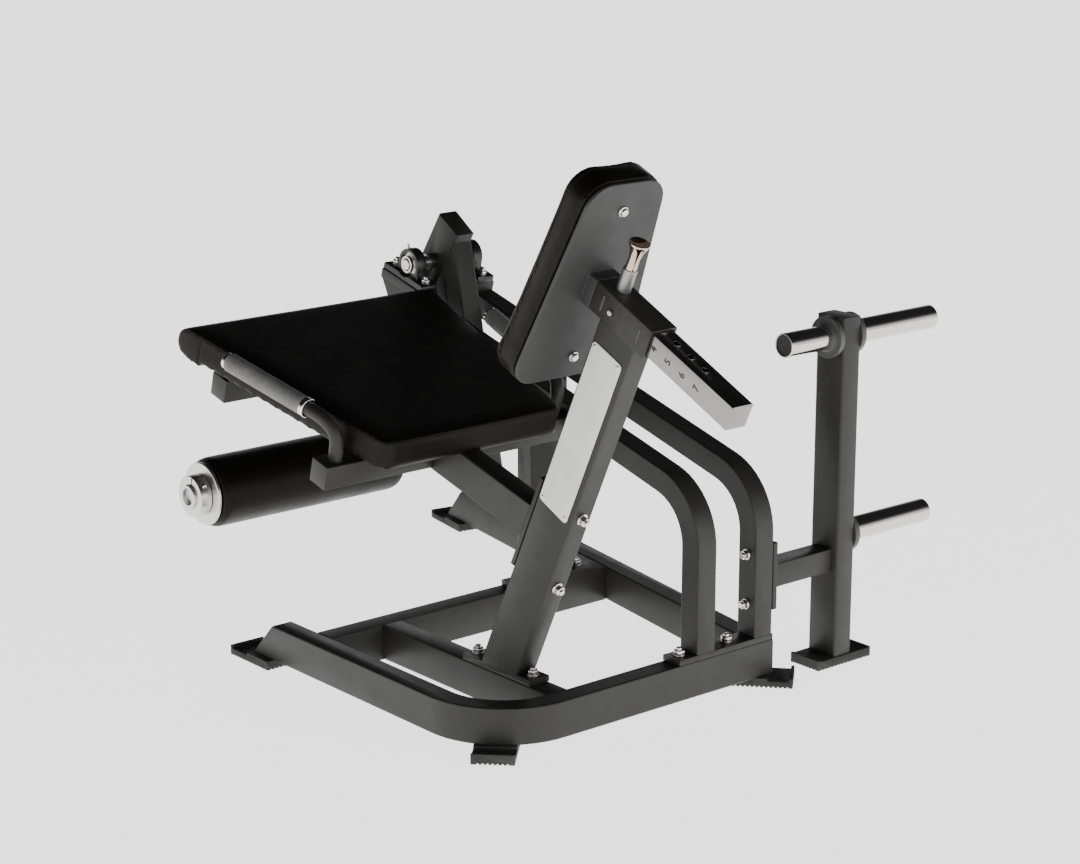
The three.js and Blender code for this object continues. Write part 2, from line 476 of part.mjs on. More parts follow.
// ---------------------------------------------------------------- swing arm
const FRONT_DIR = [-Math.sin(ARM_FRONT_LEAN), -Math.cos(ARM_FRONT_LEAN)];   // down the front leg
const FRONT_NRM = [Math.cos(ARM_FRONT_LEAN), -Math.sin(ARM_FRONT_LEAN)];    // toward its rear face
const fl = (t, w) => [PIVOT[0] + t * FRONT_DIR[0] + w * FRONT_NRM[0], PIVOT[1] + t * FRONT_DIR[1] + w * FRONT_NRM[1]];
{
  const h = ARM_FRONT_W / 2;
  const outer = side([fl(-106, -h), fl(430, -h), fl(430, h), fl(-106, h)].reverse(), ARM_X - 25, ARM_X + 25, 4);
  const inner = side([fl(-102, -h + WALL), fl(426, -h + WALL), fl(426, h - WALL), fl(-102, h - WALL)].reverse(), ARM_X - 25 + WALL, ARM_X + 25 - WALL);
  add('arm_front_leg', cut(outer, inner, rodX(SHAFT_R + 0.4, ARM_X - 40, ARM_X + 40, PIVOT[0], PIVOT[1])), steel(FRAME));
}
{
  // rear leg: 50 x 50, its upper end is cut to the front leg
  const d = [-ARM_REAR_SLOPE, 1];
  const back = [rearFaceY(0), 0];
  const front = [rearFaceY(0) - 50 * Math.hypot(1, ARM_REAR_SLOPE), 0];
  const meetAt = (p, w) => crossing(p, d, fl(0, w), FRONT_DIR);
  const h = ARM_FRONT_W / 2 + 0.4;
  const low = (p, z) => [p[0] + d[0] * z, z];
  const A = meetAt(back, h), B = meetAt(front, h);
  const outer = side([low(front, 302), low(back, 291), A, B], ARM_X - 25, ARM_X + 25, 4);
  const sh = WALL * Math.hypot(1, ARM_REAR_SLOPE);
  const back2 = [back[0] - sh, 0], front2 = [front[0] + sh, 0];
  const inner = side([low(front2, 306), low(back2, 296), meetAt(back2, -10), meetAt(front2, -10)], ARM_X - 25 + WALL, ARM_X + 25 - WALL);
  add('arm_rear_leg', cut(outer, inner), steel(FRAME));
  // gusset between the legs
  const fz = (z) => low(front, z);
  const g0 = fl(70, h + 0.4);
  const f1 = [fz(640)[0] - 0.5, 640];
  const apex = crossing([front[0] - 0.5, 0], d, fl(0, h + 0.4), FRONT_DIR);
  add('arm_gusset', side([g0, f1, apex], ARM_X + 10, ARM_X + 24.6), steel(FRAME));
}
{
  // plate horn at the lower end of the front leg
  const [y, z] = fl(385, 0);
  const x = ARM_X - 25.3;
  const g = turnX([[0, x - 262], [22, x - 262], [25, x - 259], [25, x - 12], [42, x - 12], [42, x], [0, x]].map(([r, v]) => [r, v]));
  g.translate(0, y, z);
  add('load_horn', g, chrome());
}
{
  // bracket from the rear leg to the roller axle
  const [y, z] = ROLLER;
  const yb = (zz) => rearFaceY(zz) - 50 * Math.hypot(1, ARM_REAR_SLOPE) - 0.5;
  const pts = [[yb(z - 30), z - 30], [yb(z + 34), z + 34], ...arcPts(y, z, 38, Math.PI / 2 - 0.25, Math.PI * 1.5 + 0.35, 20)];
  add('roller_bracket', side(pts, ARM_X - 14, ARM_X + 14, 0, [circlePts(25.3, 32).map(([a, b]) => [a + y, b + z])]), steel(FRAME));
  const axle = turnX([[0, 289], [22.5, 289], [25, 286.5], [25, ARM_X - 18], [21, ARM_X - 18], [21, 281], [0, 281]].reverse());
  axle.translate(0, y, z);
  add('roller_axle', axle, chrome(0xd2d1cf, 0.35));
  const clamp = slab(circlePts(43, 36), ROLLER_X1 + 8, ROLLER_X1 + 35, 0, [circlePts(25.3, 32)]).applyMatrix4(YZX);
  clamp.translate(0, y, z);
  add('roller_clamp', clamp, chrome(0xd2d1cf, 0.35));
  const disc = slab(circlePts(66, 40), ROLLER_X1 + 0.4, ROLLER_X1 + 7, 0, [circlePts(25.6, 32)]).applyMatrix4(YZX);
  disc.translate(0, y, z);
  add('roller_end_disc', disc, chrome(0xe0dfdc, 0.4));
  const foam = turnX([[25.6, ROLLER_X0], [ROLLER_R - 8, ROLLER_X0], [ROLLER_R - 2.5, ROLLER_X0 + 7], [ROLLER_R, ROLLER_X0 + 19], [ROLLER_R, ROLLER_X1 - 19], [ROLLER_R - 2.5, ROLLER_X1 - 7], [ROLLER_R - 8, ROLLER_X1], [25.6, ROLLER_X1], [25.6, ROLLER_X0]], 40);
  foam.translate(0, y, z);
  add('roller_foam', foam, vinyl());
}

// ---------------------------------------------------------------- backrest slide (turned frame: y along the bar, z square to it)
{
  const hs = SLEEVE / 2;
  const outer = along(rectPts(SLEEVE, SLEEVE, 3), SLEEVE_S0, SLEEVE_S1, [rectPts(50.6, 50.6, 1)]);
  add('slide_sleeve', cut(outer, rodZ(6.8, 10, 60, 0, HOLE_S0, 20)), steel(FRAME), barGroup);
  const b = along(rectPts(BAR, BAR, 4), BAR_S0, BAR_S1);
  const core = along(rectPts(BAR - 6, BAR - 6, 1), BAR_S0 - 20, BAR_S1 - 5);
  const holes = Array.from({ length: HOLE_N }, (_, i) => rodZ(HOLE_R, 10, 60, 0, HOLE_S0 + i * HOLE_PITCH, 20));
  add('slide_bar', cut(b, core, ...holes), chrome(0xbab6ae, 0.4), barGroup);
  const housing = slab(circlePts(13.8, 28), hs + 0.3, 77.5, 0, [circlePts(6.8, 20)]);
  housing.translate(0, HOLE_S0, 0);
  add('pin_housing', housing, chrome(0xbab6ae, 0.45), barGroup);
  const pin = turnZ([[0, 25.2], [5, 25.2], [6, 27.2], [6, 78], [11.5, 78], [10.5, 92], [11, 104], [13.5, 116], [18, 126], [20, 130], [20, 132], [17.5, 133], [0, 128]]);
  pin.translate(0, HOLE_S0, 0);
  add('pull_pin', pin, chrome(0xe0ddd6, 0.12), barGroup);
  add('name_plate', side(rounded([[405, -439, 8], [489, -439, 8], [489, -76, 8], [405, -76, 8]], 4), 25.3, 27.3), steel(0xd7d7d0), barGroup);
}
// outline of the back pad in x and z of the turned frame: wider at the bottom
const backOutline = (grow) => {
  const z0 = -206 - grow, z1 = 217 + grow;
  const hb = 136 + grow, ht = 86 + grow;
  return rounded([[-hb, z0, 46 + grow], [hb, z0, 46 + grow], [ht, z1, 52 + grow], [-ht, z1, 52 + grow]], 6);
};
{
  const toBack = new THREE.Matrix4().makeBasis(new THREE.Vector3(1, 0, 0), new THREE.Vector3(0, 0, 1), new THREE.Vector3(0, -1, 0));
  const back = (pts, s0, s1, bevel = 0) => {
    const g = slab(pts, -s1, -s0, bevel, [], 3);
    return g.applyMatrix4(toBack);
  };
  const plate = back(backOutline(0), BACK_S - 8, BACK_S, 2.5);
  const boss = back(rectPts(62, 62, 4), BACK_S - 2, SLEEVE_S0 - 1.5);
  const socket = back(rectPts(BAR + 0.8, BAR + 0.8, 2), BAR_S0 - 0.3, SLEEVE_S0 + 10);
  add('back_plate', cut(join(plate, boss), socket), rubber(0x3d3d3c), barGroup);
  add('back_cushion', back(backOutline(8), BACK_S - 8.4 - CUSHION_T, BACK_S - 8.4, 10), vinyl(), barGroup);
  for (const [tag, z] of [['upper', 158], ['lower', -158]]) {
    const g = turnZ([[0, 0.3], [10.5, 0.3], [10.5, 2.6], [8, 3.4], [7, 8], [0, 8]], 24);
    g.rotateX(-Math.PI / 2);
    g.translate(0, BACK_S, z);
    add(`back_bolt_${tag}`, g, chrome(0xd5d3cf, 0.3), barGroup);
  }
  // nuts on the rear face of the seat post
  for (const [tag, n] of [['upper', -424], ['lower', -592]]) {
    const washer = rodY(12, POST_S0 + POST_D + 0.3, POST_S0 + POST_D + 3, 0, n, 24);
    const nut = rodY(9.8, POST_S0 + POST_D + 2, POST_S0 + POST_D + 13, 0, n, 6);
    const end = rodY(5.8, POST_S0 + POST_D + 10, POST_S0 + POST_D + 18, 0, n, 16);
    add(`post_bolt_${tag}`, join(washer, nut, end), chrome(0xd5d3cf, 0.35), barGroup);
  }
}

// ---------------------------------------------------------------- plate storage
{
  const x0 = STORE_X - 25, x1 = STORE_X + 25, y0 = STORE_Y - 37.5, y1 = STORE_Y + 37.5;
  const pts = rounded([[x0, y0, 5], [x1, y0, 5], [x1, y1, 5], [x0, y1, 5]], 3);
  const post = cut(slab(pts, RAIL_Z0 + 0.4, 741, 0), box(x0 + WALL, x1 - WALL, y0 + WALL, y1 - WALL, 0, 741 - 4));
  add('storage_post', post, steel(FRAME));
  // beam with its bolting flange
  const beam = box(x1 + 0.3, -537, 203.5, 253, 208.5, 257);
  const hollow = box(x1 - 10, -541, 203.5 + WALL, 253 - WALL, 208.5 + WALL, 257 - WALL);
  const flange = box(-538.4, TUBE_FAR_X - 25.3, 203, 253, 162, 303);
  add('storage_beam', join(cut(beam, hollow), flange), steel(FRAME));
  for (const [tag, z] of [['upper', 284], ['lower', 180]]) {
    const x = TUBE_FAR_X + 25;
    const g = join(rodX(11, x + 0.3, x + 3, 228, z, 24), rodX(9.5, x + 2, x + 12, 228, z, 6), rodX(5.8, x + 10, x + 17, 228, z, 16));
    add(`storage_bolt_${tag}`, g, chrome(0xd5d3cf, 0.35));
  }
  const horn = (name, xa, xb, z) => {
    // xa is at the post face, xb is the free end; a collar is welded at the post
    const d = Math.sign(xb - xa);
    const prof = [[0, xa], [43, xa], [43, xa + d * 12], [25, xa + d * 12], [25, xb - d * 2], [23, xb], [0, xb]];
    const g = turnX(d > 0 ? prof : prof.reverse());
    g.translate(0, STORE_Y, z);
    add(name, g, chrome());
  };
  horn('storage_horn_upper_left', x1 + 0.3, -565, 698.5);
  horn('storage_horn_upper_right', x0 - 0.3, -993, 698.5);
  horn('storage_horn_lower', x0 - 0.3, -993, 279);
}

// ---------------------------------------------------------------- origin at the bottom centre
machine.updateMatrixWorld(true);
const bounds = new THREE.Box3().setFromObject(machine, true);
const shift = new THREE.Vector3(-(bounds.min.x + bounds.max.x) / 2, -(bounds.min.y + bounds.max.y) / 2, -bounds.min.z);
machine.position.copy(shift);

const part = new THREE.Group();
part.name = 'leg_extension_machine';
part.add(machine);
part.updateMatrixWorld(true);

export default part;
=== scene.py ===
import json
import math

import bmesh
import bpy
import numpy as np
from mathutils import Matrix, Vector
from mathutils.bvhtree import BVHTree
from mathutils.kdtree import KDTree


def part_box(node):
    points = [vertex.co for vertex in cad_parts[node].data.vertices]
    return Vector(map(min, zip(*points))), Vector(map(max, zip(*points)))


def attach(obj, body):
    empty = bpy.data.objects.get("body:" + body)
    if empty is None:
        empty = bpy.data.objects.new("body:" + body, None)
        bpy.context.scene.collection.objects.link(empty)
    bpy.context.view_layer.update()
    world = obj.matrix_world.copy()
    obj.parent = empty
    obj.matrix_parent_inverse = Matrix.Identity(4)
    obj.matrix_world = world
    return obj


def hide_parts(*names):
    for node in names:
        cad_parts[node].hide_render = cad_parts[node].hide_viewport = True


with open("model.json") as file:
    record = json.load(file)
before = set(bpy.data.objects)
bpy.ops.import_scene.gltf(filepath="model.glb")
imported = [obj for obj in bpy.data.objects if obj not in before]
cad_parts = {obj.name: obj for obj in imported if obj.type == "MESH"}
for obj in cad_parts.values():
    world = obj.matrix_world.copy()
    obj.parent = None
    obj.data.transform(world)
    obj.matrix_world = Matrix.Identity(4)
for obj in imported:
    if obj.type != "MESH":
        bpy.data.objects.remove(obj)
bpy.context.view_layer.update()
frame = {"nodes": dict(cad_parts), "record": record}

NODES = frame["nodes"]
BODY = {n: b for b, members in frame["record"]["behaviour"]["bodies"].items() for n in members}
COL = bpy.context.scene.collection
DEG = math.pi / 180

# ------------------------------------------------------------------ places on the machine, in mm
SX = (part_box("seat_post")[0].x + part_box("seat_post")[1].x) / 2
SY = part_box("base_side_rail")[1].y - 0.253
C15, S15 = math.cos(15 * DEG), math.sin(15 * DEG)
C25, S25 = math.cos(25 * DEG), math.sin(25 * DEG)


def M(x, y, z):
    return Vector((SX + x / 1000, SY + y / 1000, (z - 6) / 1000))


def S(x, s, n):
    return M(x, -200 + s * C15 + n * S15, 621.5 - s * S15 + n * C15)


def B(x, s, n):
    return M(x, s * C25 + n * S25, 1054.8 - s * S25 + n * C25)


X_AXIS = Vector((1, 0, 0))
S_DIR = Vector((0, C15, -S15))
S_UP = Vector((0, S15, C15))
B_DIR = Vector((0, C25, -S25))
B_UP = Vector((0, S25, C25))


# ------------------------------------------------------------------ materials
class Mat:
    """A small helper round one node material."""

    def __init__(self, name):
        self.m = bpy.data.materials.new(name)
        self.m.use_nodes = True
        self.nt = self.m.node_tree
        self.nt.nodes.clear()
        self.out = self.node("ShaderNodeOutputMaterial")
        self.p = self.node("ShaderNodeBsdfPrincipled")
        self.link(self.p.outputs[0], self.out.inputs[0])
        self.co = self.node("ShaderNodeTexCoord").outputs["Object"]

    def node(self, kind, **props):
        n = self.nt.nodes.new(kind)
        for k, v in props.items():
            setattr(n, k, v)
        return n

    def link(self, a, b):
        self.nt.links.new(a, b)

    def scaled(self, scale, turn=0.0):
        co = self.co
        if turn:
            r = self.node("ShaderNodeVectorRotate", rotation_type="X_AXIS")
            r.inputs["Angle"].default_value = turn
            self.link(co, r.inputs["Vector"])
            co = r.outputs[0]
        mp = self.node("ShaderNodeMapping")
        mp.inputs["Scale"].default_value = scale
        self.link(co, mp.inputs["Vector"])
        return mp.outputs[0]

    def noise(self, scale, detail=3.0, rough=0.5, vector=None):
        n = self.node("ShaderNodeTexNoise")
        n.inputs["Scale"].default_value = scale
        n.inputs["Detail"].default_value = detail
        n.inputs["Roughness"].default_value = rough
        self.link(vector or self.co, n.inputs["Vector"])
        return n.outputs["Fac"]

    def ramp(self, fac, stops):
        r = self.node("ShaderNodeValToRGB")
        while len(r.color_ramp.elements) < len(stops):
            r.color_ramp.elements.new(0.5)
        for e, (pos, col) in zip(r.color_ramp.elements, stops):
            e.position = pos
            e.color = (*col, 1) if len(col) == 3 else col
        self.link(fac, r.inputs["Fac"])
        return r.outputs["Color"]

    def span(self, fac, lo, hi, a=0.0, b=1.0):
        m = self.node("ShaderNodeMapRange")
        for k, v in (("From Min", a), ("From Max", b), ("To Min", lo), ("To Max", hi)):
            m.inputs[k].default_value = v
        self.link(fac, m.inputs["Value"])
        return m.outputs[0]

    def mix(self, fac, a, b):
        m = self.node("ShaderNodeMix", data_type="RGBA")
        self.link(fac, m.inputs["Factor"])
        for sock, v in ((m.inputs[6], a), (m.inputs[7], b)):
            if hasattr(v, "is_output"):
                self.link(v, sock)
            else:
                sock.default_value = (*v, 1)
        return m.outputs[2]

    def bump(self, height, strength, distance, onto=None):
        b = self.node("ShaderNodeBump")
        b.inputs["Strength"].default_value = strength
        b.inputs["Distance"].default_value = distance
        self.link(height, b.inputs["Height"])
        if onto is not None:
            self.link(onto, b.inputs["Normal"])
        return b.outputs["Normal"]

    def set(self, **values):
        for k, v in values.items():
            self.p.inputs[k.replace("_", " ")].default_value = v

    def to(self, output, socket):
        self.link(output, self.p.inputs[socket])


def shade(c, k):
    return tuple(min(1.0, max(0.0, v * k)) for v in c)


def edges(m, lo, hi):
    g = m.node("ShaderNodeNewGeometry")
    return m.span(g.outputs["Pointiness"], 0.0, 1.0, lo, hi)


def powder_coat(name, base, rough=0.5, spec=0.45, wear=0.35):
    m = Mat(name)
    blot = m.noise(7.0, 4.0, 0.6)
    col = m.ramp(blot, [(0.3, shade(base, 0.95)), (0.7, shade(base, 1.05))])
    rub = m.node("ShaderNodeMath", operation="MULTIPLY")
    m.link(edges(m, 0.515, 0.60), rub.inputs[0])
    m.link(m.span(m.noise(38.0, 5.0, 0.7), 0.0, wear, 0.42, 0.7), rub.inputs[1])
    m.to(m.mix(rub.outputs[0], col, shade(base, 2.6)), "Base Color")
    m.to(m.span(m.noise(16.0, 4.0, 0.6), rough - 0.03, rough + 0.04, 0.3, 0.7), "Roughness")
    fine = m.noise(900.0, 3.0, 0.6)
    peel = m.noise(220.0, 2.0, 0.5)
    m.to(m.bump(fine, 0.22, 0.00025, m.bump(peel, 0.12, 0.0004)), "Normal")
    m.set(Specular_IOR_Level=spec, IOR=1.5)
    return m.m


def vinyl(name, base, rough=0.40):
    m = Mat(name)
    col = m.ramp(m.noise(5.0, 4.0, 0.55), [(0.3, shade(base, 0.8)), (0.7, shade(base, 1.3))])
    m.to(col, "Base Color")
    v = m.node("ShaderNodeTexVoronoi", feature="F1")
    v.inputs["Scale"].default_value = 560.0
    v.inputs["Randomness"].default_value = 1.0
    m.link(m.co, v.inputs["Vector"])
    creases = m.node("ShaderNodeTexVoronoi", feature="DISTANCE_TO_EDGE")
    creases.inputs["Scale"].default_value = 330.0
    m.link(m.co, creases.inputs["Vector"])
    pull = m.noise(26.0, 3.0, 0.5)
    n1 = m.bump(pull, 0.10, 0.004)
    n2 = m.bump(m.span(creases.outputs["Distance"], 0.0, 1.0, 0.0, 0.12), 0.30, 0.0003, n1)
    m.to(m.bump(v.outputs["Distance"], 0.16, 0.0004, n2), "Normal")
    m.to(m.span(m.noise(11.0, 4.0, 0.6), rough - 0.06, rough + 0.10, 0.3, 0.7), "Roughness")
    m.set(Specular_IOR_Level=0.12, Coat_Weight=0.015, Coat_Roughness=0.30, Sheen_Weight=0.01)
    return m.m


def metal(name, base, rough, lines=(900, 12, 12), turn=0.0, strength=0.06, tint=None, aniso=0.0):
    m = Mat(name)
    brush = m.noise(1.0, 4.0, 0.6, m.scaled(lines, turn))
    stain = m.noise(14.0, 5.0, 0.6)
    col = m.ramp(brush, [(0.2, shade(base, 0.93)), (0.8, shade(base, 1.05))])
    col = m.mix(m.span(stain, 0.0, 0.25, 0.45, 0.8), col, tint or shade(base, 0.8))
    m.to(col, "Base Color")
    r = m.node("ShaderNodeMath", operation="ADD")
    m.link(m.span(brush, rough * 0.8, rough * 1.2, 0.25, 0.75), r.inputs[0])
    m.link(m.span(m.noise(60.0, 6.0, 0.75), 0.0, rough * 0.35, 0.5, 0.8), r.inputs[1])
    m.to(r.outputs[0], "Roughness")
    m.to(m.bump(brush, strength, 0.0002), "Normal")
    m.set(Metallic=1.0, Anisotropic=aniso)
    return m.m


def rubber(name, base, rough=0.72, grain=700.0):
    m = Mat(name)
    col = m.ramp(m.noise(24.0, 5.0, 0.65), [(0.3, shade(base, 0.8)), (0.72, shade(base, 1.3))])
    m.to(m.mix(edges(m, 0.52, 0.62), col, shade(base, 1.9)), "Base Color")
    m.to(m.span(m.noise(40.0, 4.0, 0.6), rough - 0.08, rough + 0.1, 0.3, 0.7), "Roughness")
    m.to(m.bump(m.noise(grain, 3.0, 0.6), 0.25, 0.0003), "Normal")
    m.set(Specular_IOR_Level=0.35)
    return m.m


def board(name, base):
    m = Mat(name)
    m.to(m.ramp(m.noise(9.0, 4.0, 0.6), [(0.3, shade(base, 0.9)), (0.7, shade(base, 1.12))]), "Base Color")
    v = m.node("ShaderNodeTexVoronoi", feature="SMOOTH_F1")
    v.inputs["Scale"].default_value = 750.0
    m.link(m.co, v.inputs["Vector"])
    m.to(m.bump(v.outputs["Distance"], 0.22, 0.0003), "Normal")
    m.to(m.span(m.noise(30.0, 3.0, 0.6), 0.46, 0.6, 0.3, 0.7), "Roughness")
    m.set(Specular_IOR_Level=0.4)
    return m.m


COAT = powder_coat("powder_coat_charcoal", (0.0215, 0.0207, 0.0196), 0.46, 0.30)
CAST = powder_coat("black_casting", (0.010, 0.010, 0.010), 0.36, 0.45, 0.5)
COLLAR = powder_coat("collar_grey", (0.060, 0.059, 0.058), 0.42, 0.4, 0.5)
VINYL = vinyl("black_vinyl", (0.0050, 0.0040, 0.0032), 0.36)
THREAD = rubber("seam_thread", (0.014, 0.0125, 0.011), 0.6, 2600.0)
FOOT = rubber("foot_rubber_moulded", (0.024, 0.024, 0.023))
STOP = rubber("stop_rubber", (0.03, 0.03, 0.03), 0.65)
GRIP = rubber("grip_rubber_grey", (0.150, 0.148, 0.145), 0.6, 1100.0)
CHROME_X = metal("chrome_turned", (0.62, 0.605, 0.58), 0.10, (700, 10, 10), strength=0.03)
CHROME = metal("chrome_polished", (0.82, 0.80, 0.775), 0.07, (30, 30, 30), strength=0.015)
KNOB = metal("knob_polished", (0.60, 0.46, 0.35), 0.09, (30, 30, 900), strength=0.03)
STEEL_X = metal("steel_turned", (0.60, 0.585, 0.56), 0.26, (1100, 14, 14), strength=0.08)
SILVER = metal("silver_clamp", (0.66, 0.655, 0.64), 0.30, (800, 30, 30), strength=0.08)
BAR_STEEL = metal("stainless_brushed", (0.27, 0.257, 0.238), 0.27, (900, 9, 900), -25 * DEG, 0.10, aniso=0.4)
HOUSING = metal("stainless_turned", (0.33, 0.315, 0.295), 0.46, (25, 25, 1100), 25 * DEG, 0.08)
ZINC = metal("zinc_plate", (0.74, 0.725, 0.69), 0.22, (180, 180, 180), strength=0.08, tint=(0.62, 0.60, 0.50))
PLATE = board("blank_plate_paint", (0.78, 0.78, 0.74))
BACK = board("back_board_plastic", (0.030, 0.030, 0.0295))
# near-black paint of the setting numbers; also used for the painted shade of the hole round the sleeve's set screw
DARK_PRINT_AND_HOLE_SHADE = board("number_paint_and_hole_shade", (0.02, 0.02, 0.02))


# ------------------------------------------------------------------ mesh helpers
def make(name, verts, faces):
    me = bpy.data.meshes.new(name)
    me.from_pydata([tuple(v) for v in verts], [], faces)
    me.update()
    o = bpy.data.objects.new(name, me)
    COL.objects.link(o)
    return o


def baked(o):
    """Applies o's modifiers."""
    bpy.context.view_layer.update()
    dg = bpy.context.evaluated_depsgraph_get()
    me = bpy.data.meshes.new_from_object(o.evaluated_get(dg), preserve_all_data_layers=True, depsgraph=dg)
    old = o.data
    o.modifiers.clear()
    o.data = me
    bpy.data.meshes.remove(old)
    return o


def dress(o, body, mat, angle=38.0, replaces=()):
    me = o.data
    me.materials.clear()
    me.materials.append(mat)
    me.polygons.foreach_set("use_smooth", [True] * len(me.polygons))
    if angle is not None:
        me.set_sharp_from_angle(angle=angle * DEG)
    me.update()
    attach(o, body)
    if replaces:
        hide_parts(*replaces)
    return o


def copy_node(node, name, dissolve=True):
    bm = bmesh.new()
    bm.from_mesh(NODES[node].data)
    bmesh.ops.remove_doubles(bm, verts=bm.verts, dist=2e-5)
    if dissolve:
        bmesh.ops.dissolve_limit(bm, angle_limit=0.8 * DEG, verts=bm.verts, edges=bm.edges)
    me = bpy.data.meshes.new(name)
    bm.to_mesh(me)
    bm.free()
    o = bpy.data.objects.new(name, me)
    COL.objects.link(o)
    return o


def tread(o, centre, turn, length, width):
    """Cuts a waffle tread into the sole of a foot: shallow grooves along and across it."""
    for along, across, a in ((length, width, turn), (width, length, turn + math.pi / 2)):
        verts, faces = [], []
        d, w = Vector((-math.sin(a), math.cos(a), 0)), Vector((math.cos(a), math.sin(a), 0))
        n = int((along - 9) // 9.5)
        for i in range(n):
            c = centre + d * ((i - (n - 1) / 2) * 0.0095)
            b = len(verts)
            for z in (-0.004, 0.0026):
                k = 0.0022 if z < 0 else 0.0016
                for u, v in ((-k, -1), (k, -1), (k, 1), (-k, 1)):
                    q = c + d * u + w * (v * (across / 2000 + 0.01))
                    verts.append(Vector((q.x, q.y, z)))
            faces += [(b, b + 3, b + 2, b + 1), (b + 4, b + 5, b + 6, b + 7)] + [(b + j, b + (j + 1) % 4, b + 4 + (j + 1) % 4, b + 4 + j) for j in range(4)]
        cutter = make("tread_cutter", verts, faces)
        bm = bmesh.new()
        bm.from_mesh(cutter.data)
        bmesh.ops.recalc_face_normals(bm, faces=bm.faces)
        bm.to_mesh(cutter.data)
        bm.free()
        m = o.modifiers.new("tread", "BOOLEAN")
        m.operation, m.solver, m.object = "DIFFERENCE", "EXACT", cutter
        baked(o)
        bpy.data.objects.remove(cutter)


def refine(node, mat, bevel=1.1, seg=3, angle=40.0, name=None, before=None):
    """The CAD piece with softened edges and smooth shading."""
    o = copy_node(node, name or node + "_finish")
    if before:
        before(o)
    for p in o.data.polygons:
        p.use_smooth = True
    b = o.modifiers.new("bevel", "BEVEL")
    b.width, b.segments, b.limit_method, b.angle_limit = bevel / 1000, seg, "ANGLE", 48 * DEG
    b.miter_outer = "MITER_ARC"
    w = o.modifiers.new("weighted", "WEIGHTED_NORMAL")
    w.weight, w.keep_sharp = 90, True
    o.data.set_sharp_from_angle(angle=48 * DEG)
    baked(o)
    return dress(o, BODY[node], mat, angle, (node,))


def fillet(prof, r, steps=4, closed=False):
    """Rounds the corners of a turned profile."""
    out, n = [], len(prof)
    for i, p in enumerate(prof):
        if not closed and i in (0, n - 1):
            out.append(p)
            continue
        a, b, c = Vector(prof[i - 1]), Vector(p), Vector(prof[(i + 1) % n])
        u, v = a - b, c - b
        if u.length < 1e-6 or v.length < 1e-6 or abs(u.normalized().dot(v.normalized())) > 0.985:
            out.append(p)
            continue
        d = min(r, u.length * 0.45, v.length * 0.45)
        s, e = b + u.normalized() * d, b + v.normalized() * d
        for k in range(steps + 1):
            t = k / steps
            q = s * (1 - t) ** 2 + b * 2 * t * (1 - t) + e * t * t
            out.append((q.x, q.y))
    return out


def turned(name, prof, origin, axis, seg=96, round_=0.8, closed=False, sweep=None, up=None):
    """Turns a profile of (radius, distance along axis) in mm. closed: the profile is a loop off the axis. sweep: (from, to) in degrees."""
    prof = fillet(prof, round_, closed=closed) if round_ else list(prof)
    axis = axis.normalized()
    u = (up or (Vector((0, 0, 1)) if abs(axis.z) < 0.9 else Vector((1, 0, 0))))
    u = (u - axis * u.dot(axis)).normalized()
    v = axis.cross(u)
    a0, a1 = (0, 360) if sweep is None else sweep
    count = seg if sweep is None else max(8, int(seg * (a1 - a0) / 360)) + 1
    verts, rings, faces = [], [], []
    for r, a in prof:
        if r < 1e-6:
            rings.append([len(verts)])
            verts.append(origin + axis * (a / 1000))
        else:
            rings.append(list(range(len(verts), len(verts) + count)))
            for k in range(count):
                t = (a0 + (a1 - a0) * k / (count if sweep is None else count - 1)) * DEG
                verts.append(origin + axis * (a / 1000) + (u * math.cos(t) + v * math.sin(t)) * (r / 1000))
    pairs = list(zip(rings, rings[1:])) + ([(rings[-1], rings[0])] if closed else [])
    for p, q in pairs:
        for k in range(count if sweep is None else count - 1):
            k2 = (k + 1) % count
            if len(p) == 1 and len(q) == 1:
                continue
            if len(p) == 1:
                faces.append((p[0], q[k], q[k2]))
            elif len(q) == 1:
                faces.append((p[k], q[0], p[k2]))
            else:
                faces.append((p[k], q[k], q[k2], p[k2]))
    if sweep is not None:
        faces.append(tuple(r[0] if len(r) > 1 else r[0] for r in rings))
        faces.append(tuple(reversed([r[-1] for r in rings])))
    o = make(name, verts, faces)
    bm = bmesh.new()
    bm.from_mesh(o.data)
    bmesh.ops.recalc_face_normals(bm, faces=bm.faces)
    bm.to_mesh(o.data)
    bm.free()
    return o


def tube_along(name, pts, radius, sides=8, closed=False, normals=None):
    """A round thread along points, in metres."""
    verts, faces, n = [], [], len(pts)
    prev = None
    for i, p in enumerate(pts):
        a = pts[i - 1] if (i > 0 or closed) else pts[i]
        b = pts[(i + 1) % n] if (i < n - 1 or closed) else pts[i]
        t = (b - a).normalized()
        up = normals[i] if normals else (prev or Vector((0, 0, 1)))
        u = up - t * up.dot(t)
        if u.length < 1e-6:
            u = t.orthogonal()
        u.normalize()
        prev = u
        w = t.cross(u)
        for k in range(sides):
            c = 2 * math.pi * k / sides
            verts.append(p + (u * math.cos(c) + w * math.sin(c)) * radius)
    rings = n if closed else n - 1
    for i in range(rings):
        j = (i + 1) % n
        for k in range(sides):
            l = (k + 1) % sides
            faces.append((i * sides + k, j * sides + k, j * sides + l, i * sides + l))
    if not closed:
        faces.append(tuple(reversed(range(sides))))
        faces.append(tuple((n - 1) * sides + k for k in range(sides)))
    return make(name, verts, faces)


def resample(pts, step, closed=False):
    pts = list(pts) + ([pts[0]] if closed else [])
    out, acc = [pts[0].copy()], 0.0
    for a, b in zip(pts, pts[1:]):
        d = (b - a).length
        t = step - acc
        while t <= d:
            out.append(a.lerp(b, t / d))
            t += step
        acc = d - (t - step)
    if closed and (out[-1] - out[0]).length < step * 0.6:
        out.pop()
    return out


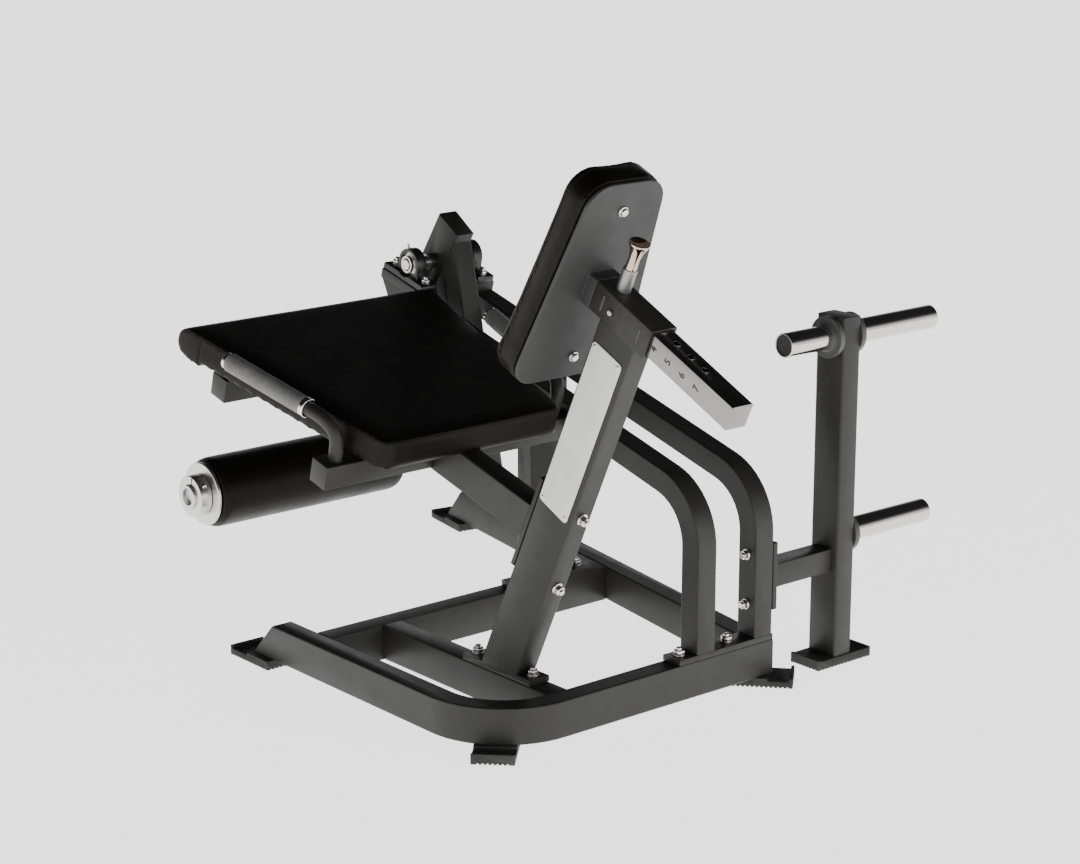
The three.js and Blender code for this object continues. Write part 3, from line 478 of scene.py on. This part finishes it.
# ------------------------------------------------------------------ upholstery
def soft_pad(node, name, voxel, shrink, cap, held, smooth=6, pressure=4.0, even=30):
    """An upholstered pad: the CAD pad drawn in a little, blown up as cloth under pressure, held where it is on its board."""
    o = copy_node(node, name, dissolve=False)
    r = o.modifiers.new("remesh", "REMESH")
    r.mode, r.voxel_size, r.use_smooth_shade = "VOXEL", voxel, True
    baked(o)
    bm = bmesh.new()
    bm.from_mesh(o.data)
    for _ in range(smooth):
        bmesh.ops.smooth_vert(bm, verts=bm.verts, factor=0.5, use_axis_x=True, use_axis_y=True, use_axis_z=True)
    bm.normal_update()
    board_side = [held(v.co) for v in bm.verts]
    moves = [v.normal * (-shrink * (0.35 if h else 1.0)) for v, h in zip(bm.verts, board_side)]
    for v, d in zip(bm.verts, moves):
        v.co += d
    bm.to_mesh(o.data)
    bm.free()
    rest = np.empty(len(o.data.vertices) * 3, np.float32)
    o.data.vertices.foreach_get("co", rest)
    g = o.vertex_groups.new(name="held")
    g.add([i for i, h in enumerate(board_side) if h], 1.0, "REPLACE")
    c = o.modifiers.new("cloth", "CLOTH")
    st = c.settings
    st.quality, st.mass = 4, 0.35
    st.tension_stiffness = st.compression_stiffness = 22
    st.shear_stiffness, st.bending_stiffness = 8, 0.6
    st.use_pressure, st.uniform_pressure_force = True, pressure
    st.effector_weights.gravity = 0.0
    st.vertex_group_mass = "held"
    c.collision_settings.use_collision = False
    c.point_cache.frame_start, c.point_cache.frame_end = 1, 20
    scene = bpy.context.scene
    for f in range(1, 21):
        scene.frame_set(f)
    baked(o)
    scene.frame_set(1)
    now = np.empty_like(rest)
    o.data.vertices.foreach_get("co", now)
    d = (now - rest).reshape(-1, 3)
    length = np.linalg.norm(d, axis=1, keepdims=True)
    d *= np.minimum(1.0, cap / np.maximum(length, 1e-9))
    # the filling evens out, so the swelling varies slowly over the pad
    ends = np.empty(len(o.data.edges) * 2, np.int32)
    o.data.edges.foreach_get("vertices", ends)
    a, b = ends[0::2], ends[1::2]
    count = len(d)
    degree = np.bincount(a, minlength=count) + np.bincount(b, minlength=count)
    pinned = np.array(board_side)
    for _ in range(even):
        mean = np.stack([np.bincount(a, d[b, k], count) + np.bincount(b, d[a, k], count) for k in range(3)], 1)
        d = 0.4 * d + 0.6 * mean / np.maximum(degree, 1)[:, None]
        d[pinned] = 0.0
    o.data.vertices.foreach_set("co", (rest.reshape(-1, 3) + d).ravel().astype(np.float32))
    o.data.update()
    o.vertex_groups.clear()
    s = o.modifiers.new("fine", "SUBSURF")
    s.levels = s.render_levels = 1
    baked(o)
    return o


def groove(o, lines, depth, width):
    """Presses sewn lines into a pad."""
    tree = KDTree(sum(len(l) for l in lines))
    i = 0
    for l in lines:
        for p in l:
            tree.insert(p, i)
            i += 1
    tree.balance()
    bm = bmesh.new()
    bm.from_mesh(o.data)
    bm.normal_update()
    moves = []
    for v in bm.verts:
        _, _, d = tree.find(v.co)
        if d < width * 3:
            moves.append((v, v.normal * (-depth * math.exp(-(d / width) ** 2))))
    for v, d in moves:
        v.co += d
    bm.to_mesh(o.data)
    bm.free()


def on_surface(o, pts):
    bm = bmesh.new()
    bm.from_mesh(o.data)
    tree = BVHTree.FromBMesh(bm)
    bm.free()
    hits = [tree.find_nearest(p) for p in pts]
    return [h[0] for h in hits], [h[1] for h in hits]


def stitches(name, o, pts, body, pitch=0.0065, length=0.0042, radius=0.00055, closed=False):
    """One row of thread stitches lying on a pad."""
    place, nor = on_surface(o, resample(pts, pitch, closed))
    verts, faces = [], []
    for i in range(1, len(place) - 1):
        p, n = place[i], nor[i]
        t = place[i + 1] - place[i - 1]
        t = (t - n * t.dot(n))
        if t.length < 1e-6:
            continue
        t.normalize()
        w = t.cross(n)
        b0 = len(verts)
        for a, k, lift in ((-0.5, 0.25, -0.0003), (-0.3, 0.9, 0.0002), (0.3, 0.9, 0.0002), (0.5, 0.25, -0.0003)):
            c = p + t * (a * length) + n * lift
            for j in range(6):
                q = math.pi * 2 * j / 6
                verts.append(c + (w * math.cos(q) + n * math.sin(q)) * radius * k)
        for r_ in range(3):
            for j in range(6):
                l = (j + 1) % 6
                faces.append((b0 + r_ * 6 + j, b0 + r_ * 6 + l, b0 + (r_ + 1) * 6 + l, b0 + (r_ + 1) * 6 + j))
        faces.append(tuple(b0 + j for j in reversed(range(6))))
        faces.append(tuple(b0 + 18 + j for j in range(6)))
    s = make(name, verts, faces)
    return dress(s, body, THREAD, None)


def welt(name, o, pts, body, radius=0.0011, sink=0.0002, step=0.004, closed=False):
    place, nor = on_surface(o, resample(pts, step, closed))
    w = tube_along(name, [p - n * sink for p, n in zip(place, nor)], radius, 8, closed, nor)
    return dress(w, body, VINYL, None)


def half_width(s):
    return 221.5 + (317.5 - 221.5) * (174 - s) / (174 + 418)


# seat pad: held on its board underneath, sewn along the side panels and behind the front roll
def under_seat(co):
    n = (co - S(0, 0, 0)).dot(S_UP) * 1000
    s = (co - S(0, 0, 0)).dot(S_DIR) * 1000
    return n < -56.5 and s > -356


seat = soft_pad("seat_pad", "seat_cushion", 0.0050, 0.0018, 0.0034, under_seat, 2)
corner = [(174 - 34 + 24 * math.cos(a * DEG), 24 * math.sin(a * DEG)) for a in (0, 22, 45, 68, 90)]


def side_path(inset, sign):
    """The seam of one side: round the end of the front roll and back along the top edge."""
    pts = []
    r = 34 - inset
    for k in range(9, -1, -1):
        a = (90 + 172 * k / 9) * DEG
        t, n = -384 + r * math.cos(a), -34 + r * math.sin(a)
        pts.append(S(sign * (half_width(t) + 4), t, n))
    for t in range(-372, 136, 12):
        pts.append(S(sign * (half_width(t) + 4), t, -inset))
    for t, x in corner[::-1]:
        pts.append(S(sign * (half_width(174) - 24 + x), t + 12, -inset))
    return pts


left, right = side_path(3.2, 1), side_path(3.2, -1)
seam = left + right[::-1]
seam_pts, _ = on_surface(seat, resample(seam, 0.004))
end_seams = [[S(sg * (half_width(-347) + 4), -347, -n) for n in range(4, 62, 3)] for sg in (1, -1)]
end_pts = [on_surface(seat, l)[0] for l in end_seams]
groove(seat, [seam_pts], 0.0010, 0.0028)
groove(seat, end_pts, 0.0012, 0.0030)
dress(seat, "frame", VINYL, None, ("seat_pad",))
welt("seat_side_welt", seat, seam, "frame", 0.0010)
for tag, l in zip(("left", "right"), end_seams):
    welt("seat_end_welt_" + tag, seat, l, "frame", 0.0009)
stitches("seat_side_stitches", seat, [p - S_UP * 0.0055 for p in seam], "frame")


# back cushion: held against the back board
def on_board(co):
    s = (co - B(0, 0, 0)).dot(B_DIR) * 1000
    return s > 333.5


cushion = soft_pad("back_cushion", "backrest_cushion", 0.0048, 0.0050, 0.0050, on_board, 5)


def rounded_outline(z0, z1, hb, ht, rb, rt):
    """Outline of the back pad seen from behind, as (x, n), anticlockwise."""
    pts = []
    for (cx, cz, r, a0) in ((hb - rb, z0 + rb, rb, -90), (ht - rt, z1 - rt, rt, 0), (-ht + rt, z1 - rt, rt, 90), (-hb + rb, z0 + rb, rb, 180)):
        for k in range(7):
            a = (a0 + 90 * k / 6) * DEG
            pts.append((cx + r * math.cos(a), cz + r * math.sin(a)))
    return pts


ring = [B(x, 286, n) for x, n in rounded_outline(-216, 227, 148, 98, 54, 58)]
ring = resample(ring, 0.005, True)
ring_pts, _ = on_surface(cushion, ring)
groove(cushion, [ring_pts], 0.0016, 0.0034)
rear_ring = resample([B(x, 326, n) for x, n in rounded_outline(-216, 227, 148, 98, 54, 58)], 0.005, True)
dress(cushion, "backrest", VINYL, None, ("back_cushion",))
welt("backrest_welt", cushion, ring, "backrest", 0.0011, closed=True)
stitches("backrest_stitches", cushion, [p + B_DIR * 0.0065 for p in ring], "backrest", closed=True)

# foam roller: vinyl over foam, a little slack at both ends
ROLLER = M(0, -632, 354)


def roller_core(co):
    d = co - ROLLER
    return math.hypot(d.y, d.z) < 0.030


foam = soft_pad("roller_foam", "roller_cushion", 0.0046, 0.0030, 0.0042, roller_core, 4)
rings = []
for x in (-214, 238):
    rings.append([ROLLER + Vector((x / 1000, 0.0775 * math.cos(a * DEG), 0.0775 * math.sin(a * DEG))) for a in range(0, 360, 3)])
long_seam = [ROLLER + Vector((x / 1000, -0.0775 * math.cos(55 * DEG), -0.0775 * math.sin(55 * DEG))) for x in range(-212, 238, 5)]
rings_on = [on_surface(foam, r)[0] for r in rings]
groove(foam, rings_on, 0.0012, 0.003)
groove(foam, [on_surface(foam, long_seam)[0]], 0.0014, 0.003)
dress(foam, "roller", VINYL, None, ("roller_foam",))
welt("roller_seam", foam, long_seam, "roller", 0.0009)
for tag, r in zip(("right", "left"), rings):
    welt("roller_welt_" + tag, foam, r, "roller", 0.0009, closed=True)
stitches("roller_stitches", foam, [p + Vector((0, 0.004, -0.004)) for p in long_seam], "roller")

# ------------------------------------------------------------------ painted frame pieces
for node in ("base_side_rail", "base_right_rail", "base_front_rail", "base_centre_rail", "seat_post", "main_beam_flange",
             "main_beam", "crossbeam_rear_left", "crossbeam_rear_right", "crossbeam_front_left", "crossbeam_front_right",
             "handle_left", "handle_right", "bent_tube_inner", "bent_tube_outer", "bent_tube_plate", "support_post",
             "arm_front_leg", "arm_rear_leg", "arm_gusset", "roller_bracket", "slide_sleeve", "storage_post", "storage_beam"):
    refine(node, COAT, 1.2, 3)
for node in ("pillow_block_inner", "pillow_block_outer"):
    refine(node, CAST, 1.3, 3)
SPLAY = math.atan(0.183)
RAIL_X = -531 + 50 * math.hypot(1, 0.183) - 0.183 * 50
for node, at, turn, length, width in (
        ("foot_front_left", M(178, -530, 6), 0.0, 136, 80),
        ("foot_front_right", M(RAIL_X - math.sin(SPLAY) * 1268 - 25 * math.cos(SPLAY), 203 - math.cos(SPLAY) * 1268 + 25 * math.sin(SPLAY), 6), -SPLAY, 145, 84),
        ("foot_rear_left", M(23 + 0.7071 * 158, 73 + 0.7071 * 158, 6), -math.pi / 4, 140, 84),
        ("foot_rear_right", M(-518, 225, 6), math.atan2(0.74, -0.67) - math.pi / 2, 145, 84),
        ("foot_storage", M(-726, 228.5, 6), 0.0, 80, 154)):
    refine(node, FOOT, 0.7, 2, before=lambda o, a=at, t=turn, l=length, w=width: tread(o, a, t, l, w))
refine("arm_stop", STOP, 2.0, 3)
refine("back_plate", BACK, 1.2, 3)
refine("slide_bar", BAR_STEEL, 0.7, 2)
refine("name_plate", PLATE, 0.5, 2)
for node in ("back_bolt_upper", "back_bolt_lower", "post_bolt_upper", "post_bolt_lower", "storage_bolt_upper", "storage_bolt_lower"):
    refine(node, ZINC, 0.8, 3)

# ------------------------------------------------------------------ turned pieces
STORE_Y = 228.5


def horn(node, xa, xb, y, z, body, collar=43):
    d = 1 if xb > xa else -1
    axis = Vector((d, 0, 0))
    length = abs(xb - xa)
    bar = turned(node + "_bar", [(0, 0.4), (24.8, 0.4), (25, 10), (25, length - 1.8), (23.6, length), (21.6, length), (21.2, length - 6), (0, length - 6)],
                 M(xa, y, z), axis, 128, 0.9)
    dress(bar, body, CHROME_X, 30, (node,))
    cap = turned(node + "_cap", [(0, length - 7), (21.0, length - 7), (21.0, length - 3.4), (19.6, length - 2.2), (15, length - 2.8), (0, length - 3.6)], M(xa, y, z), axis, 96, 0.8)
    dress(cap, body, STOP, 30)
    ring_ = turned(node + "_collar", [(25.2, 0), (collar, 0), (collar, 12), (33.5, 12), (33.5, 14), (25.2, 14)], M(xa, y, z), axis, 128, 1.2, closed=True)
    dress(ring_, body, COLLAR, 30)
    bead = turned(node + "_weld", [(25.1, 13.6), (30.5, 14.0), (28.5, 16.2), (25.1, 18.5)], M(xa, y, z), axis, 96, 0.8, closed=True)
    dress(bead, body, COLLAR, None)


x_post = -746.5, -696.5
horn("storage_horn_upper_left", -696.2, -565, STORE_Y, 698.5, "frame")
horn("storage_horn_upper_right", -746.8, -993, STORE_Y, 698.5, "frame")
horn("storage_horn_lower", -746.8, -993, STORE_Y, 279, "frame")
LEAN = 33.3 * DEG
HORN_Y, HORN_Z = -694.3 - 385 * math.sin(LEAN), 752.6 - 385 * math.cos(LEAN)
horn("load_horn", -448.3, -710.3, HORN_Y, HORN_Z, "swing_arm", 42)

# pivot shaft and bearings
PY, PZ = -694.3, 752.6
o = turned("pivot_shaft_finish", [(0, 0), (11, 0), (12.5, 1.5), (12.5, 38.3), (17, 38.3), (17, 55), (12.5, 55.1), (12.5, 122.6), (17, 122.9), (17, 139.6), (12.5, 139.6), (12.5, 193.5), (11, 195), (0, 195)],
           M(-520.5, PY, PZ), X_AXIS, 96, 0.5)
dress(o, "swing_arm", STEEL_X, 30, ("pivot_shaft",))
for tag, x in (("inner", -344.5), ("outer", -501.5)):
    o = turned("bearing_ring_" + tag, [(14.1, -17), (18.5, -17), (18.5, -10), (21, -9.5), (21, -7.5), (26.5, -7), (26.8, -6), (26.8, 6), (26.5, 7), (21, 7.5), (21, 9.5), (18.5, 10), (18.5, 17), (14.1, 17)],
               M(x, PY, PZ), X_AXIS, 96, 0.4, closed=True)
    dress(o, "frame", STEEL_X, 30, ("bearing_insert_" + tag,))
    nip = turned("grease_nipple_" + tag, [(0, 0), (3.6, 0), (3.6, 3), (2.2, 4), (2.2, 7), (3, 8.5), (2.2, 10.5), (0, 11)],
                 M(x, PY + 34 * math.sin(-20 * DEG), PZ + 34 * math.cos(-20 * DEG)), Vector((0, math.sin(-20 * DEG), math.cos(-20 * DEG))), 24, 0.3)
    dress(nip, "frame", ZINC, 30)

# roller axle, end disc and split clamp
o = turned("roller_axle_finish", [(0, -441.0), (23.5, -441.0), (25, -439.5), (25, 287.5), (23.5, 289), (18, 289), (17, 281), (0, 281)], M(0, -632, 354), X_AXIS, 96, 0.5)
AX0, AX1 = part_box("roller_axle")[0].x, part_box("roller_axle")[1].x
for v in o.data.vertices:
    if v.co.x < AX0:
        v.co.x = AX0
dress(o, "swing_arm", STEEL_X, 30, ("roller_axle",))
o = turned("roller_disc_finish", [(25.6, 248.4), (66, 248.4), (66, 253.5), (64.5, 255), (25.6, 255)], M(0, -632, 354), X_AXIS, 128, 0.8, closed=True)
dress(o, "roller", SILVER, 30, ("roller_end_disc",))
o = turned("roller_clamp_finish", [(25.3, 256), (42, 256), (43, 257), (43, 282), (42, 283), (25.3, 283)], M(0, -632, 354), X_AXIS, 128, 0.8, closed=True, sweep=(3, 357), up=Vector((0, 0.25, 1)))
dress(o, "swing_arm", SILVER, 30, ("roller_clamp",))
screw_dir = Vector((0, 1, -0.25)).normalized()
o = turned("clamp_screw", [(0, 0), (4.6, 0), (4.6, 5), (3.9, 6), (2.5, 6), (2.3, 3.4), (0, 3.4)], M(269.5, -632, 354) + Vector((0, 0.25, 1)).normalized() * 0.034 + screw_dir * 0.0235, screw_dir, 32, 0.4)
dress(o, "swing_arm", ZINC, 30)

# pull pin and its housing
o = turned("pin_housing_finish", [(6.9, 30.3), (13.8, 30.3), (13.8, 74), (13.0, 77.5), (6.9, 77.5)], B(0, 408, 0), B_UP, 96, 0.7, closed=True)
dress(o, "frame", HOUSING, 30, ("pin_housing",))
o = turned("pull_pin_finish", [(0, 25.2), (4.8, 25.2), (6, 27.2), (6, 77.9), (11.5, 78.0), (10.7, 86), (10.5, 92), (10.7, 100), (11.4, 106), (13.0, 114), (15.4, 120.5), (18, 126), (19.7, 129.2), (20, 131), (19.4, 132.6), (17.5, 133), (11, 130.6), (0, 128.2)],
           B(0, 408, 0), B_UP, 96, 0.25)
dress(o, "pull_pin", KNOB, 50, ("pull_pin",))

# hand grips
for tag, sign, x0 in (("left", 1, 266), ("right", -1, 300)):
    k = 0.158
    ln = math.hypot(1, k)
    d = (Vector((1, 0, 0)) * (sign * k / ln) - S_DIR * (1 / ln)).normalized()
    O = S(sign * x0, 65, 0)
    o = turned("grip_core_%s_finish" % tag, [(0, 71.2), (18.5, 71.2), (20, 72.7), (20, 81.7), (15, 81.7), (15, 296.3), (16.5, 296.3), (16.5, 304.5), (14, 307), (0, 307)], O, d, 96, 0.7)
    dress(o, "frame", CHROME, 30, ("grip_core_" + tag,))
    prof = [(15.2, 82)]
    prof += [(18.2, 82), (19.2, 84)]
    for i in range(31):
        a = 92 + i * 6.4
        prof += [(19.2, a), (18.75, a + 0.7), (18.75, a + 1.7), (19.2, a + 2.4)]
    prof += [(19.2, 294), (18.2, 296), (15.2, 296)]
    o = turned("grip_%s_finish" % tag, prof, O, d, 64, 0, closed=True)
    dress(o, "frame", GRIP, 30, ("grip_" + tag,))

# ------------------------------------------------------------------ small visible details
# screws of the blank plate
for i, (s, n) in enumerate(((413, -431), (481, -431), (413, -84), (481, -84))):
    o = turned("plate_screw_%d" % i, [(0, 0), (4.2, 0), (4.0, 1.0), (2.8, 1.9), (1.2, 2.2), (1.0, 1.2), (0, 1.2)], B(27.3, s, n), X_AXIS, 32, 0.25)
    dress(o, "frame", ZINC, 40)

# welds at the two ends of the sleeve's left side, and its small set screw
for i, s in enumerate((398, 503)):
    pts = [B(29.6, s + 0.5 * math.sin(k * 1.9), -15 + k * 1.6) for k in range(20)]
    o = tube_along("sleeve_weld_%d" % i, pts, 0.0021, 8, normals=[X_AXIS] * len(pts))
    dress(o, "frame", COLLAR, None)
# painted shade: a flat near-black ring round the set screw stands for the shadowed hole the screw sits in
o = turned("sleeve_screw_hole_shade", [(4.6, 0), (8.6, 0), (8.6, 1.3), (7.6, 2.0), (4.6, 2.0)], B(29.9, 424, -3), X_AXIS, 48, 0.4, closed=True)
dress(o, "frame", DARK_PRINT_AND_HOLE_SHADE, 30)
o = turned("sleeve_set_screw", [(0, 0), (5.0, 0), (5.0, 3.4), (4.2, 4.4), (2.6, 4.4), (2.4, 2.6), (0, 2.6)], B(29.9, 424, -3), X_AXIS, 48, 0.3)
dress(o, "frame", ZINC, 30)

# numbers of the backrest settings, on the bar's left side
for text, s in (("4", 543), ("5", 583), ("6", 623), ("7", 663)):
    cu = bpy.data.curves.new("setting_" + text, "FONT")
    cu.body, cu.size, cu.extrude, cu.offset = text, 0.0205, 0.00012, 0.00045
    cu.align_x, cu.align_y = "CENTER", "CENTER"
    t = bpy.data.objects.new("setting_curve_" + text, cu)
    COL.objects.link(t)
    bpy.context.view_layer.update()
    me = bpy.data.meshes.new_from_object(t)
    bpy.data.objects.remove(t)
    # the digits stand across the bar, with their tops towards its front end
    mat = Matrix((B_UP, -B_DIR, X_AXIS)).transposed().to_4x4()
    mat.translation = B(24.66, s, 0)
    me.transform(mat)
    o = bpy.data.objects.new("setting_number_" + text, me)
    COL.objects.link(o)
    dress(o, "backrest", DARK_PRINT_AND_HOLE_SHADE, None)

# bright liners in the bar's setting holes
for i in range(7):
    o = turned("hole_liner_%d" % i, [(6.2, -3.0), (6.95, -3.0), (6.95, 0.02), (7.9, 0.02), (7.9, 0.3), (6.2, 0.3)], B(0, 408 + 40 * i, 24.5), B_UP, 48, 0.1, closed=True)
    dress(o, "backrest", CHROME, 30)

# bright nuts and washers over the anchor bolts of the floor plates
def nut(name, centre, body, direction=Vector((0, 0, 1)), ring=12.3, ring_h=3.0, hexa=11.6, top=12.6, stud=6.1, end=17.8):
    w = turned(name + "_washer", [(4, 0.1), (ring, 0.1), (ring, ring_h), (4, ring_h)], centre, direction, 64, 0.5, closed=True)
    dress(w, body, ZINC, 30)
    n = turned(name + "_nut", [(4, ring_h), (hexa - 0.7, ring_h), (hexa, ring_h + 0.8), (hexa, top - 1.4), (hexa - 1.3, top), (4, top)], centre, direction, 6, 0, closed=True)
    b = n.modifiers.new("bevel", "BEVEL")
    b.width, b.segments, b.limit_method, b.angle_limit = 0.0004, 2, "ANGLE", 30 * DEG
    baked(n)
    dress(n, body, ZINC, 25)
    if end:
        t = turned(name + "_stud", [(0, 1), (stud, 1), (stud, end - 1.2), (stud - 1.2, end), (0, end)], centre, direction, 40, 0.4)
        dress(t, body, ZINC, 30)


for name, x, y in (("seat_post_front", 0, -38), ("seat_post_rear", 0, 130), ("support_right", -519, -346), ("support_left", -349, -346),
                   ("tube_plate_left", -294, 228), ("tube_plate_right", -423, 228)):
    nut("anchor_" + name, M(x, y, 111.8), "frame")
for name, n in (("upper", -424), ("lower", -592)):
    nut("flange_" + name, B(0, 389.5, n), "frame", -B_DIR, 12.3, 3.2, 11.6, 12.4, 0, 0)
for tag, x in (("inner", -344.5), ("outer", -501.5)):
    for side, t in (("front", -53), ("rear", 53)):
        c = M(x, PY + t * C15 - 22 * S15, PZ - t * S15 - 22 * C15)
        nut("block_%s_%s" % (tag, side), c, "frame", S_UP, 10.6, 1.8, 9.9, 8.8, 5.4, 14.8)

# ------------------------------------------------------------------ floor, light, camera
bm = bmesh.new()
bmesh.ops.create_grid(bm, x_segments=24, y_segments=24, size=14.0)
me = bpy.data.meshes.new("floor")
bm.to_mesh(me)
bm.free()
floor = bpy.data.objects.new("floor", me)
COL.objects.link(floor)
floor.location = (0, 0, -0.0004)
fm = Mat("studio_floor")
fm.to(fm.ramp(fm.noise(3.0, 3.0, 0.5), [(0.3, (0.86, 0.86, 0.86)), (0.7, (0.90, 0.90, 0.90))]), "Base Color")
fm.to(fm.span(fm.noise(5.0, 2.0, 0.5), 0.78, 0.9), "Roughness")
fm.set(Specular_IOR_Level=0.1)
fm.p.inputs["Emission Color"].default_value = (1, 1, 1, 1)
fm.p.inputs["Emission Strength"].default_value = 2.1
floor.data.materials.append(fm.m)

world = bpy.data.worlds.new("studio")
bpy.context.scene.world = world
world.use_nodes = True
wt = world.node_tree
wt.nodes.clear()
wo = wt.nodes.new("ShaderNodeOutputWorld")
bg = wt.nodes.new("ShaderNodeBackground")
tc = wt.nodes.new("ShaderNodeTexCoord")
sp = wt.nodes.new("ShaderNodeSeparateXYZ")
rp = wt.nodes.new("ShaderNodeValToRGB")
els = rp.color_ramp.elements
els[0].position, els[0].color = 0.0, (1.0, 1.0, 1.0, 1)
els[1].position, els[1].color = 0.13, (0.92, 0.92, 0.92, 1)
e = els.new(0.30)
e.color = (0.20, 0.20, 0.20, 1)
e = els.new(0.46)
e.color = (0.022, 0.022, 0.024, 1)
e = els.new(0.90)
e.color = (0.012, 0.012, 0.013, 1)
wt.links.new(tc.outputs["Generated"], sp.inputs[0])
wt.links.new(sp.outputs["Z"], rp.inputs["Fac"])
wt.links.new(rp.outputs["Color"], bg.inputs["Color"])
bg.inputs["Strength"].default_value = 1.35
wt.links.new(bg.outputs[0], wo.inputs[0])


def area(name, at, towards, size, power, colour=(1, 1, 1)):
    l = bpy.data.lights.new(name, "AREA")
    l.shape, l.size, l.size_y = "RECTANGLE", size[0], size[1]
    l.energy, l.color = power, colour
    o = bpy.data.objects.new(name, l)
    COL.objects.link(o)
    o.location = at
    o.rotation_euler = (Vector(towards) - Vector(at)).to_track_quat("-Z", "Y").to_euler()
    return o


area("key_left", (4.6, 0.4, 1.3), (0, 0, 0.6), (3.0, 1.6), 22)
area("fill_rear", (-1.4, 4.8, 1.4), (0, 0, 0.6), (3.4, 1.6), 60)

cam_data = bpy.data.cameras.new("camera")
cam = bpy.data.objects.new("camera", cam_data)
COL.objects.link(cam)
cam_data.sensor_fit = "HORIZONTAL"
cam_data.sensor_width = 36.0
cam_data.lens = 86.8
cam_data.shift_x, cam_data.shift_y = 0.0010, 0.0015
cam_data.clip_end = 100
cam.location = M(3031.5, 3775.9, 1850.8)
yaw, pitch = -2.267, -0.259
fwd = Vector((math.cos(pitch) * math.cos(yaw), math.cos(pitch) * math.sin(yaw), math.sin(pitch)))
cam.rotation_euler = fwd.to_track_quat("-Z", "Y").to_euler()
bpy.context.scene.camera = cam
